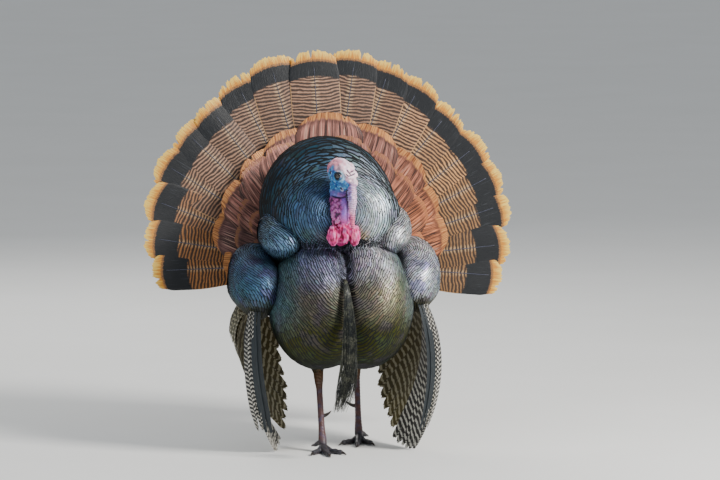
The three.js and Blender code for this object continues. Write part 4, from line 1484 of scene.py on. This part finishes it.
# many thin tapering shafts (count, rings, 3) as one mesh: a ring of points round each place on each line
def shaftPiece(name, lines, radii, material, slot, sides=5, nodes=()):
    count, rings = lines.shape[:2]
    along = unit(np.gradient(lines, axis=1))
    across = unit(np.cross(along, (0.13, 0.31, 0.94)))
    other = np.cross(across, along)
    angle = np.linspace(0, 2 * np.pi, sides, endpoint=False)
    ring = across[..., None, :] * np.cos(angle)[:, None] + other[..., None, :] * np.sin(angle)[:, None]
    points = lines[:, :, None] + ring * radii[..., None, None]
    tube = gridFaces(rings, sides, wrap=True)
    j = np.arange(1, sides - 1)
    caps = np.vstack([np.stack([0 * j, j + 1, j], -1), (rings - 1) * sides + np.stack([0 * j, j, j + 1], -1)])
    offset = (np.arange(count) * rings * sides)[:, None, None]
    quads = (tube[None] + offset).reshape(-1, 4)
    ends = (caps[None] + offset).reshape(-1, 3)
    turned = turnedOut(points, quads)
    if turned[0, 0] != quads[0, 0]:
        ends = ends[:, ::-1]
    column = np.arange(count)[:, None, None] / count + np.linspace(0.1, 0.9, sides) / count
    place = np.stack(np.broadcast_arrays(column, np.linspace(0, 1, rings)[None, :, None]), -1)
    settle(addPiece(name, points, [turned, ends], material, uvs={"OFBake": 0.002 + 0.99 * place}), slot, *nodes)
    print(name, count, "shafts")


# the tail fan and its coverts

fanSet = {"hub": (2, 178, 357), "lean": 8, "roll": 2.2, "inner": 60, "scatter": 0.012, "wave": 1.3}
fanFlats = {"at": 0.68, "wide": 0.36, "uneven": 0.008, "ends": 0.03}  # the rim is flatter at these radians
notch = {"deep": 17, "wide": 0.085, "share": 0.75}
tail = {
    "feathers": 18, "spread": 98.2, "rise": 66, "radius": 388, "forward": 0, "overlap": 1.22, "rounding": 18,
    "cup": 22, "layer": 1.9, "narrow": 0.16, "comb": 5.0, "notches": 3, "thickness": 1.0, "camber": 1.6,
    "vary": 0.008, "flat": 0.032, "grid": (46, 41), "seed": 5, "tintSeed": 6,
}
covertRows = [  # from the longest row to the one that lies foremost
    {**tail, "feathers": 11, "spread": 97, "rise": 80, "radius": 236, "forward": 26,
     "overlap": 1.45, "rounding": 30,
     "layer": 2.8, "comb": 2.2, "notches": 1, "narrow": 0.3, "camber": 3.4, "cup": 14, "vary": 0.030},
    {**tail, "feathers": 12, "spread": 95, "rise": 78, "radius": 200, "forward": 33,
     "overlap": 1.5, "rounding": 26,
     "layer": 2.8, "comb": 3.0, "notches": 2, "narrow": 0.3, "camber": 3.4, "cup": 10, "vary": 0.045},
    {**tail, "feathers": 14, "spread": 92, "rise": 74, "radius": 166, "forward": 40,
     "overlap": 1.5, "rounding": 22,
     "layer": 2.4, "comb": 3.0, "notches": 2, "narrow": 0.3, "camber": 2.6, "cup": 6, "vary": 0.05},
]


# a point of the leaning fan: angle from straight up, distance from the hub, and millimetres aside across; the
# fan is cupped forward with the squares of the angle and of the distance
def fanPoint(size, angle, away, aside):
    turned = angle + np.radians(fanSet["roll"])
    lean = np.radians(fanSet["lean"])
    x = away * np.sin(turned) + aside * np.cos(turned)
    up = away * np.cos(turned) - aside * np.sin(turned)
    hub = fanSet["hub"]
    cup = size["cup"] * (angle / 1.7) ** 2 * (away / 380) ** 2
    y = hub[1] - size["forward"] + up * np.sin(lean) - cup
    return np.stack([hub[0] + x, y, hub[2] + up * np.cos(lean)], -1)


# Each vane widens from its root and ends in an arc that is combed and notched. The fan's rim is a circle whose
# middle is raised above the hub. The middle vanes lie on top, so each one's outer edge lies behind its inner one
def fanVanes(size, rows, columns, seed):
    draw = np.random.default_rng(seed)
    count = size["feathers"]
    step = np.radians(2 * size["spread"] / count)
    angle = (np.arange(count) - (count - 1) / 2) * step + draw.normal(0, fanSet["scatter"], count)
    v = (np.linspace(0, 1, rows) ** 0.85)[None, :, None]
    u = np.linspace(-1, 1, columns)[None, None, :]
    rim = size["rise"] * np.cos(angle) + np.sqrt(size["radius"] ** 2 - size["rise"] ** 2 * np.sin(angle) ** 2)
    flat = size["flat"] - fanFlats["uneven"] * np.sin(angle)
    flat = flat * bell(np.abs(angle), fanFlats["at"], fanFlats["wide"])
    ends = fanFlats["ends"] * smooth(0.84, 1, np.abs(angle) / angle.max())
    rim = (rim * (1 + draw.normal(0, size["vary"], count)) * (1 - ends - flat))[:, None, None]
    width = rim * step / 2 * size["overlap"] * (size["narrow"] + (1 - size["narrow"]) * smooth(-0.1, 0.72, v))
    width = width * (1 - 0.10 * smooth(0.9, 1.0, v))
    comb = size["comb"] * draw.uniform(0, 1, (count, 1, columns))
    for _ in range(size["notches"]):
        at = draw.uniform(-0.85, 0.85, (count, 1, 1))
        deep = draw.uniform(0, notch["deep"], (count, 1, 1))
        deep = deep * (draw.uniform(0, 1, (count, 1, 1)) < notch["share"])
        comb = comb + deep * np.clip(1 - np.abs(u - at) / notch["wide"], 0, 1)
    short = size["rounding"] * np.abs(u) ** 2.6 + comb
    away = fanSet["inner"] + (rim - fanSet["inner"] - short * smooth(0.55, 1, v)) * v
    middle = fanPoint(size, angle[:, None, None] + 0 * away, away, width * u)
    order = np.sign(angle)[:, None, None]
    first = (np.arange(count) == (count - 1) // 2)[:, None, None]
    shingle = np.where(first, -1.4 * size["layer"] + 0 * u, -order * u * size["layer"]) * smooth(0, 0.4, v)
    camber = size["camber"] * (u**2 - 0.4)
    wave = draw.normal(0, fanSet["wave"], (count, 1, 1)) * v * np.sin(2.5 * v + 2 * u)
    middle[..., 1] += shingle + camber + wave
    return middle, (u + 1) / 2, rim - away + 0 * u, angle


def fanTint(colours, angle, east, low, vary, draw):  # the feathers' colours, from end to end of the fan, lighter on the left with painted sunlight
    tone = np.broadcast_to(colours[0], (len(angle), 3))
    tone = mix(mix(tone, colours[1], smooth(*east, angle)[:, None]), colours[2], smooth(*low, angle)[:, None])
    return tone * draw.uniform(*vary, (len(angle), 1))


barColours = {
    "bar": paint(40, 26, 20), "barSpeckle": paint(84, 54, 38), "rachis": paint(230, 196, 150),
    "band": paint(11, 15, 21), "bandSheen": paint(66, 70, 76), "line": paint(96, 60, 34), "lineSpeckle": paint(168, 118, 66),
    "buff": paint(244, 204, 92), "buffDeep": paint(208, 132, 34), "edge": paint(190, 150, 104),
}
barEnds = {
    "buff": (18.0, 22.0), "line": (23.0, 26.0), "band": (53.0, 57.0), "spacing": 6.9, "edge": (60.0, 66.0),
}


# From the tip inward, in millimetres: a buff tip, a speckled brown line, a black band, then wavy dark bars on
# tan. A bar is where the distance over the spacing is near a half; the odds of each feather widen its band
def barredFinish():
    f = Finish("barred tail")
    c, ends = barColours, barEnds
    u, v, _ = f.uv().split()
    away = v * vaneReach
    odds = f.value("odds") * 40.0
    side = abs(u - 0.5) * 2.0
    streak = f.noise(f.vector(u * 46.0, away * 0.03, odds), 1.0, 3.0)
    blotch = f.noise(f.vector(u * 3.4, away * 0.05, odds), 1.0, 2.0)
    fringe = f.noise(f.vector(u * 30.0, odds), 1.0, 2.0)
    speckle = f.noise(f.vector(u * 60.0, away * 0.7, odds), 1.0, 2.0)
    place = away + (fringe - 0.5) * 7.0 - side * side * 9.0
    inward = place - abs(f.value("odds") - 0.5) * 46.0
    phase = (away / ends["spacing"] + side * 0.7 + (blotch - 0.5) * 1.6).fract()
    bar = abs(phase - 0.5).rise(0.33, 0.20) * speckle.rise(0.12, 0.36)
    halo = abs(phase - 0.5).rise(0.30, 0.44)
    light = f.shaded(f.tint(), (streak * 0.8 + 0.45) * (halo * 0.35 + 0.9))
    light = f.colour(light, c["rachis"], side.rise(0.22, 0.05) * 0.35)
    dark = f.colour(c["bar"], c["barSpeckle"], speckle.rise(0.5, 0.75))
    barred = f.colour(light, dark, bar * 0.95)
    # the grey streaks on the black band are painted sheen on its barbs
    band = f.colour(c["band"], c["bandSheen"], streak.rise(0.58, 0.74) * 0.6)
    inner = f.colour(band, barred, inward.rise(*ends["band"]))
    brown = f.colour(c["line"], c["lineSpeckle"], speckle.rise(0.35, 0.65))
    outer = f.colour(brown, inner, place.rise(*ends["line"]))
    buff = f.colour(c["buff"], c["buffDeep"], (streak + place * 0.022).rise(0.56, 0.96))
    colour = f.colour(f.shaded(buff, speckle * 0.4 + 0.76), outer, place.rise(*ends["buff"]))
    line = side.rise(0.955, 0.985)
    colour = f.colour(colour, c["edge"], line * inward.rise(*ends["edge"]) * 0.7)
    f.bump(f.noise(f.vector(u * 90.0, away * 0.08 - side * 6.0, odds), 1.0, 2.0), 0.0008, 0.6)
    return f.finish(colour, streak * 0.3 + 0.36)


# edge is painted shade along each covert's sides, where the next one overlaps it
covertColours = {
    "tan": paint(216, 148, 84), "tanDeep": paint(140, 76, 38), "root": paint(96, 40, 28),
    "parting": paint(16, 10, 12), "pale": paint(232, 188, 164), "edge": paint(22, 12, 12), "line": paint(60, 28, 22),
}


# copper that streams along the barbs, with dark partings between them; rim is how much of a tan edge it has
def covertFinish(name, rim):
    f = Finish(name, metallic=0.15)
    c = covertColours
    u, v, _ = f.uv().split()
    away = v * vaneReach
    odds = f.value("odds") * 40.0
    side = abs(u - 0.5) * 2.0
    spread = (u - 0.5) * (away * -0.003 + 1.6)
    streak = f.noise(f.vector(spread * 24.0, away * 0.014, odds), 1.0, 3.0)
    fine = f.noise(f.vector(spread * 80.0, away * 0.02, odds + 4.0), 1.0, 2.0)
    parting = f.noise(f.vector(spread * 38.0, away * 0.012, odds + 9.0), 1.0, 2.0)
    place = away + (streak - 0.5) * 12.0 - side * side * 18.0
    tan = f.colour(c["tan"], c["tanDeep"], streak.rise(0.36, 0.66))
    tan = f.shaded(tan, fine.rise(0.36, 0.64) * 0.5 + 0.7)
    centre = f.colour(f.tint(), c["root"], away.rise(36.0, 110.0) * 0.7)
    centre = f.shaded(centre, (streak.rise(0.36, 0.64) * 1.05 + 0.42) * (fine.rise(0.38, 0.62) * 0.55 + 0.72))
    dark = parting.rise(0.55, 0.61) * 0.85 * away.rise(14.0 * rim, 10.0 + 20.0 * rim)
    centre = f.colour(centre, c["parting"], dark)
    centre = f.colour(centre, c["pale"], parting.rise(0.40, 0.34) * 0.5 * away.rise(16.0, 40.0))
    # painted shade along the sides, where the neighbouring coverts overlap
    centre = f.colour(centre, c["edge"], side.rise(0.74, 1.0) * 0.8)
    centre = f.colour(centre, c["line"], place.rise(12.0, 16.0) * place.rise(26.0, 18.0) * 0.5 * rim)
    colour = f.colour(f.colour(centre, tan, rim), centre, place.rise(3.0 + 8.0 * rim, 7.0 + 10.0 * rim))
    f.bump(parting + fine, 0.0010, 0.8)
    return f.finish(colour, streak * 0.3 + 0.3)


def shaftFinish(name, base, tip):
    f = Finish(name, roughness=0.35)
    return f.finish(f.colour(base, tip, f.noise(f.place(), 220.0, 2.0)))


def addShafts(name, middle, reachTo, thick, material, slot):  # along the middle of each vane, on its front
    centre = middle[:, :, middle.shape[2] // 2]
    rows = int(centre.shape[1] * reachTo)
    lines = centre[:, :rows].copy()
    lines[..., 1] -= 0.7
    shaftPiece(name, lines, thick * np.linspace(1, 0.35, rows)[None] * np.ones((len(lines), 1)), material, slot)


tailColours = (paint(158, 120, 96), paint(216, 158, 100), paint(166, 108, 56))  # right, left and low right; the left is lighter with painted sunlight
# the coverts' too: warmer and lighter on the left with painted sunlight, darkest low on the right with painted shade
covertTones = (paint(158, 104, 92), paint(188, 112, 74), paint(88, 62, 62))


def addTail():
    middle, across, fromTip, angle = fanVanes(tail, *tail["grid"], tail["seed"])
    draw = np.random.default_rng(tail["tintSeed"])
    tint = fanTint(tailColours, angle, (0.1, 1.0), (-0.9, -1.5), (0.82, 1.14), draw)
    tint = tint * (1 - 0.55 * smooth(0.6, 1.2, angle))[:, None]
    odds = 0.5 + 0.28 * angle  # a half at the top, and further from it the more the feather leans to its side
    nodes, thick = ("tail_feathers",), tail["thickness"]
    vanePiece("tail_vanes", middle, across, fromTip, barredFinish(), "tail_vane", tint, thick, odds, nodes)
    shafts = shaftFinish("tail shafts", paint(104, 108, 132), paint(26, 26, 32))
    addShafts("tail_shafts", middle, 0.9, 1.5, shafts, "tail_vane")


def addCoverts():
    finishes = [covertFinish("rimmed coverts", 1.0), covertFinish("inner coverts", 0.4)]
    shafts = shaftFinish("covert shafts", paint(70, 44, 40), paint(120, 84, 66))
    for k, size in enumerate(covertRows):
        middle, across, fromTip, angle = fanVanes(size, 26, 33, seed=40 + k)
        draw = np.random.default_rng(50 + k)
        tint = fanTint(covertTones, angle, (0.2, 1.1), (-0.9, -1.4), (0.85, 1.12), draw)
        odds = draw.uniform(0, 1, size["feathers"])
        nodes = ("tail_coverts",) if k == 0 else ()
        name, finish = f"covert_vanes_{k + 1}", finishes[min(k, 1)]
        vanePiece(name, middle, across, fromTip, finish, "covert_vane", tint, size["thickness"], odds, nodes)
        addShafts(f"covert_shafts_{k + 1}", middle, 0.8, 0.9, shafts, "covert_vane")


undertailForm = {
    "centre": (2, 208, 360), "power": 2.2, "lobes": [((2, 208, 360), 0, (84, 24, 138), 1)],
    "pole": (0, 0.25, -1),
}


undertailTile = {
    **tile, "overlap": 3.4, "depth": 9.0, "tip": 0.75, "broad": 1.5, "sideOver": 1.5,
    "edge": 0.35, "vary": 0.12,
}
undertailSet = {"gap": 13.0, "from": 190, "low": paint(84, 60, 46), "high": paint(140, 98, 62), "skinDepth": 9}


def undertailGap(points):
    return np.full(points.shape[:-1], undertailSet["gap"])


def undertailTint(points):
    return mix(undertailSet["low"], undertailSet["high"], smooth(340, 480, points[:, 2:3]))


def behindTail(points):
    return points[:, 1] > undertailSet["from"]


def downFinish():
    f = Finish("down", roughness=0.8)
    fluff = f.noise(f.place(), 160.0, 4.0)
    f.bump(fluff, 0.001, 0.8)
    return f.finish(f.colour(paint(60, 44, 36), paint(34, 26, 24), fluff.rise(0.3, 0.7)))


def addUndertail(material):
    pad = addPiece("undertail_skin", *starSkin(undertailForm, 40, 48, -undertailSet["skinDepth"]), downFinish())
    settle(pad, "covert_vane", "undertail")
    tractPiece(
        "feathers_undertail", undertailForm, undertailTile, undertailGap, undertailTint, behindTail, material,
        seed=71, slot="covert_vane",
    )


# the flight feathers

sheets = {
    "primaries": {
        "roots": [(182, -86, 276), (180, -52, 280), (174, -14, 286)],
        "bulges": [(222, -98, 130), (220, -30, 140), (214, 34, 152)],
        "tips": [(130, -66, -4), (120, -18, -3), (104, 34, 10)],
        "feathers": 6, "overlap": 1.6, "facing": (1, 0, 0), "bow": (1, 0.8, 0.3),
    },
    "secondaries": {
        "roots": [(174, -8, 288), (172, 40, 298), (158, 80, 314), (142, 108, 330)],
        "bulges": [(244, 30, 205), (262, 84, 226), (234, 140, 255), (180, 184, 292)],
        "tips": [(98, 40, 22), (86, 100, 76), (88, 160, 146), (106, 204, 236)],
        "feathers": 9, "overlap": 1.8, "facing": (1, 0, 0), "bow": (0, 0, 0, 0),
    },
    "leading": {
        "roots": [(158, -98, 300), (184, -88, 292)],
        "bulges": [(194, -116, 180), (232, -100, 176)],
        "tips": [(136, -84, 40), (170, -70, 44)],
        "feathers": 4, "overlap": 1.35, "facing": (0.3, -1, 0), "bow": (1, 1),
    },
}


# Each vane's lines are curves (1 - t)^2 a + 2 t (1 - t) b + t^2 c, from a root a past a bulge b to a tip c, which
# lie on the sheet's three lines; of two neighbours, the one further along the sheet lies on top
def flightVanes(wing, sheet, rows, columns, seed, until=1.0, lift=0.0, count=None, spread=(0.0, 1.0)):
    draw = np.random.default_rng(seed)
    count = count or sheet["feathers"]
    share = (np.arange(count) + 0.5) / count * (spread[1] - spread[0]) + spread[0]
    v = (np.linspace(0, 1, rows) ** 0.9)[None, :, None] * np.ones((count, 1, columns))
    u = np.linspace(-1, 1, columns)[None, None, :]
    half = (spread[1] - spread[0]) / count / 2 * sheet["overlap"]
    rounded = np.sqrt(np.clip(1 - 0.7 * smooth(0.8, 1.0, v) ** 1.5, 0, 1))
    body = (0.55 + 0.45 * smooth(0, 0.3, v)) * rounded
    place = np.clip(share[:, None, None] + half * u * body, -0.04, 1.04)
    drawn = wing["tips"] * (1 - 0.4 * np.arange(len(sheet["tips"])) / (len(sheet["tips"]) - 1))
    tips = [(x + aside, y, z - wing["lift"]) for (x, y, z), aside in zip(sheet["tips"], drawn)]
    bulges = [(x + wing["bow"] * bow, y, z) for (x, y, z), bow in zip(sheet["bulges"], sheet["bow"])]
    a, b, c = (curve(onWing(wing, line), place) for line in (sheet["roots"], bulges, tips))
    drop = 0.035 * np.abs(u) ** 2.4 + draw.uniform(0, 0.014, (count, 1, columns)) * smooth(0.4, 1, v)
    t = (v * (until + draw.uniform(-0.015, 0.004, (count, 1, 1))) * (1 - drop * v))[..., None]
    middle = (1 - t) ** 2 * a + 2 * t * (1 - t) * b + t**2 * c
    outward = unit(np.array(sheet["facing"], float) * (wing["side"], 1, 1))
    layer = (-u * 1.5 + lift) * smooth(0, 0.3, v)
    middle = middle + outward * layer[..., None]
    middle[..., 2] = np.maximum(middle[..., 2], 0.6)
    step = np.linalg.norm(np.diff(middle, axis=1), axis=-1)
    run = np.concatenate([np.zeros((count, 1, columns)), np.cumsum(step, axis=1)], 1)
    return middle, (u + 1) / 2, run[:, -1:].max(-1, keepdims=True) - run


quillLooks = {  # bar spacing on the outer and the inner web, the inner bars' slant, colours, their strength
    "primaries": ("barred quills", 6.2, 13.0, 1.2, paint(240, 236, 222), paint(26, 22, 20), 0.95),
    "webs": ("barred outer webs", 9.0, 9.0, 0.9, paint(216, 212, 200), paint(14, 13, 14), 0.92),
    "brown": ("brown secondaries", 9.0, 14.0, 1.2, paint(204, 196, 164), paint(48, 42, 20), 0.72),
    "slate": ("dark wing coverts", 30.0, 40.0, 1.0, paint(70, 80, 84), paint(18, 24, 28), 0.10),
}
shaftColour = paint(24, 20, 18)


# white bars on dark: close ones on the narrow outer web, broad slanting ones on the inner web; a bar is where
# the distance over the spacing is near a half
def flightFinish(name, outer, inner, slant, light, dark, strength):
    f = Finish(name, metallic=0.05)
    u, v, _ = f.uv().split()
    away = v * vaneReach
    odds = f.value("odds") * 40.0
    streak = f.noise(f.vector(u * 30.0, away * 0.03, odds), 1.0, 3.0)
    wobble = f.noise(f.vector(u * 4.0, away * 0.07, odds), 1.0, 2.0)
    web = u.rise(0.30, 0.34)
    close = abs((away / outer + u * 0.9 + wobble * 0.5 + odds).fract() - 0.5).rise(0.27, 0.33)
    broad = abs((away / inner - u * slant + wobble * 0.7 + odds).fract() - 0.5).rise(0.27, 0.34)
    bar = close * (1.0 - web) + broad * web * u.rise(1.0, 0.90) * (away.rise(210.0, 90.0) * 0.55 + 0.45)
    base = f.shaded(f.colour(f.tint(), dark, streak.rise(0.3, 0.8) * 0.6), streak * 0.5 + 0.75)
    colour = f.colour(base, f.colour(light, light * 0.8, streak), bar * strength)
    colour = f.colour(colour, shaftColour, abs(u - 0.32).rise(0.030, 0.010) * 0.9)
    f.bump(f.noise(f.vector(u * 60.0, away * 0.1 - u * 8.0, odds), 1.0, 2.0), 0.0007, 0.6)
    return f.finish(colour, streak * 0.3 + 0.34)


flightParts = [  # name, sheet, look, colour, and what differs from the whole sheet; until is a share of its length
    ("primaries", "primaries", "primaries", (48, 42, 36), {}),
    ("secondaries", "secondaries", "brown", (88, 78, 38), {}),
    (
        "primary_coverts", "primaries", "slate", (32, 42, 48),
        {"until": 0.5, "lift": 4.0, "count": 5, "spread": (0.0, 0.55)},
    ),
    ("secondary_coverts", "secondaries", "brown", (72, 66, 36), {"until": 0.42, "lift": 4.5, "count": 9}),
    ("alula", "leading", "slate", (30, 40, 46), {"count": 2, "spread": (0.0, 0.56), "lift": 1.5}),
    ("outer_webs", "leading", "webs", (34, 34, 36), {"count": 2, "spread": (0.46, 1.0)}),
]


def addFlight():
    finishes = {key: flightFinish(*look) for key, look in quillLooks.items()}
    for side, wing in wings.items():
        draw = np.random.default_rng(90 + wing["side"])
        for name, sheet, look, tone, options in flightParts:
            made = flightVanes(wing, sheets[sheet], 40, 13, seed=80 + len(name), **options)
            tint = paint(*tone) * draw.uniform(0.85, 1.15, (len(made[0]), 1))
            odds = draw.uniform(0, 1, len(made[0]))
            nodes = [f"wing_{side}_{name}"] if name == sheet else []
            vanePiece(f"{name}_{side}", *made, finishes[look], "flight_vane", tint, 0.9, odds, nodes)


# the beard

beard = {
    "path": [
        (-1, -186, 366, 3, 3), (1, -206, 334, 6.5, 5), (6, -217, 262, 12, 7), (5, -217, 190, 17, 8),
        (-5, -211, 136, 18, 7), (-15, -206, 98, 14, 5),
    ],
    "bristles": 400, "rings": 20, "thick": 0.55, "shortest": 0.62,
    # the pale grey streaks on the black bristles are painted highlight
    "pale": paint(128, 128, 108), "dark": paint(16, 22, 22),
}


# bristles follow the beard's line, each at its own place in the line's oval, and most stop short of its end
def addBeard():
    draw = np.random.default_rng(33)
    count = beard["bristles"]
    finish = hornFinish("beard bristles", beard["pale"], beard["dark"], 1.0)
    angle, share = draw.uniform(0, 2 * np.pi, count)[:, None], np.sqrt(draw.uniform(0, 1, count))
    stop = mix(beard["shortest"], 1.0, draw.uniform(0, 1, count) ** 0.6)[:, None]
    place = np.linspace(0, 1, beard["rings"])[None] * stop
    line = curve(beard["path"], place)
    wander = 1 + 0.25 * np.sin(place * 9 + angle * 3)
    offset = np.stack([np.cos(angle) * line[..., 3] * wander, np.sin(angle) * line[..., 4], 0 * place], -1)
    centre = line[..., :3] + offset * share[:, None, None]
    radii = beard["thick"] * draw.uniform(0.8, 1.3, (count, 1)) * (1 - 0.75 * (place / stop) ** 2)
    shaftPiece("beard_bristles", centre, radii, finish, "beard_bristle", sides=4, nodes=("beard",))


# the stage

camera = {
    "azimuth": -6.5, "elevation": 8.0, "distance": 12000.0, "millimetresPerPixel": 2.05,
    "sensorWidth": 36.0, "clipEnd": 200, "imageWidth": 720, "imageHeight": 480,
    "originAt": (336.6, 446.6),  # the pixel where the frame's origin shows
}


def lookingAlong(place, back, up):  # the matrix of a camera or lamp whose back points along back
    across = unit(np.cross(up, back))
    turned = np.eye(4)
    turned[:3] = np.stack([across, np.cross(back, across), back, place], 1)
    return Matrix(turned.tolist())


def addCamera():
    c = camera
    azimuth, elevation = np.radians(c["azimuth"]), np.radians(c["elevation"])
    level = np.cos(elevation)
    back = np.array([np.sin(azimuth) * level, -np.cos(azimuth) * level, np.sin(elevation)])
    right = np.array([np.cos(azimuth), np.sin(azimuth), 0])
    up = np.cross(back, right)
    eye = back * c["distance"]
    aside = (c["imageWidth"] / 2 - c["originAt"][0]) * c["millimetresPerPixel"]
    above = (c["originAt"][1] - c["imageHeight"] / 2) * c["millimetresPerPixel"]
    toward = unit(eye - right * aside - up * above)
    data = bpy.data.cameras.new("camera")
    data.sensor_width = c["sensorWidth"]
    data.lens = data.sensor_width * c["distance"] / (c["imageWidth"] * c["millimetresPerPixel"])
    data.clip_end = c["clipEnd"]
    made = bpy.data.objects.new("camera", data)
    bpy.context.scene.collection.objects.link(made)
    made.matrix_world = lookingAlong(eye / 1000, toward, up)
    bpy.context.scene.camera = made


room = {
    "floorHalf": 60.0, "floorPale": (0.90, 0.90, 0.89), "floorDull": (0.84, 0.84, 0.82),
    "air": (0.82, 0.86, 0.90, 1), "airStrength": 0.5, "aim": (0, 0, 0.35),
    "lights": {  # place in metres, size, power and colour
        "key": ((2.3, -1.8, 2.5), 0.9, 190, (1.0, 0.97, 0.92)),
        "fill": ((-3.0, -3.0, 2.2), 4.0, 34, (0.80, 0.90, 1.0)),
        "rim": ((-0.6, 2.8, 2.2), 1.6, 40, (1.0, 0.98, 0.94)),
    },
}


def addLight(name, place, size, power, colour):
    data = bpy.data.lights.new(name, "AREA")
    data.size, data.energy, data.color = size, power, colour
    made = bpy.data.objects.new(name, data)
    bpy.context.scene.collection.objects.link(made)
    made.matrix_world = lookingAlong(place, unit(np.array(place, float) - room["aim"]), (0, 0, 1))


def addStage():
    half = room["floorHalf"]
    mesh = bpy.data.meshes.new("floor")
    corners = [(-half, -half, 0), (half, -half, 0), (half, half, 0), (-half, half, 0)]
    mesh.from_pydata(corners, [], [(0, 1, 2, 3)])
    floor = bpy.data.objects.new("floor", mesh)
    bpy.context.scene.collection.objects.link(floor)
    f = Finish("pale floor", roughness=0.8)
    mesh.materials.append(f.finish(f.colour(room["floorDull"], room["floorPale"], f.noise(f.place(), 3.0))))
    for name, light in room["lights"].items():
        addLight(name, *light)
    world = bpy.data.worlds.new("pale room")
    world.use_nodes = True
    air = world.node_tree.nodes["Background"]
    air.inputs["Color"].default_value = room["air"]
    air.inputs["Strength"].default_value = room["airStrength"]
    bpy.context.scene.world = world
    print("camera and stage")


addCamera()
addStage()
featherFinish = plumageFinish()
addBodyFeathers(featherFinish)
addWingFeathers(featherFinish)
addThighFeathers(featherFinish)
addSkin()
addEyes()
addBill()
addClawsAndSpurs()
addTail()
addCoverts()
addUndertail(featherFinish)
addFlight()
addBeard()
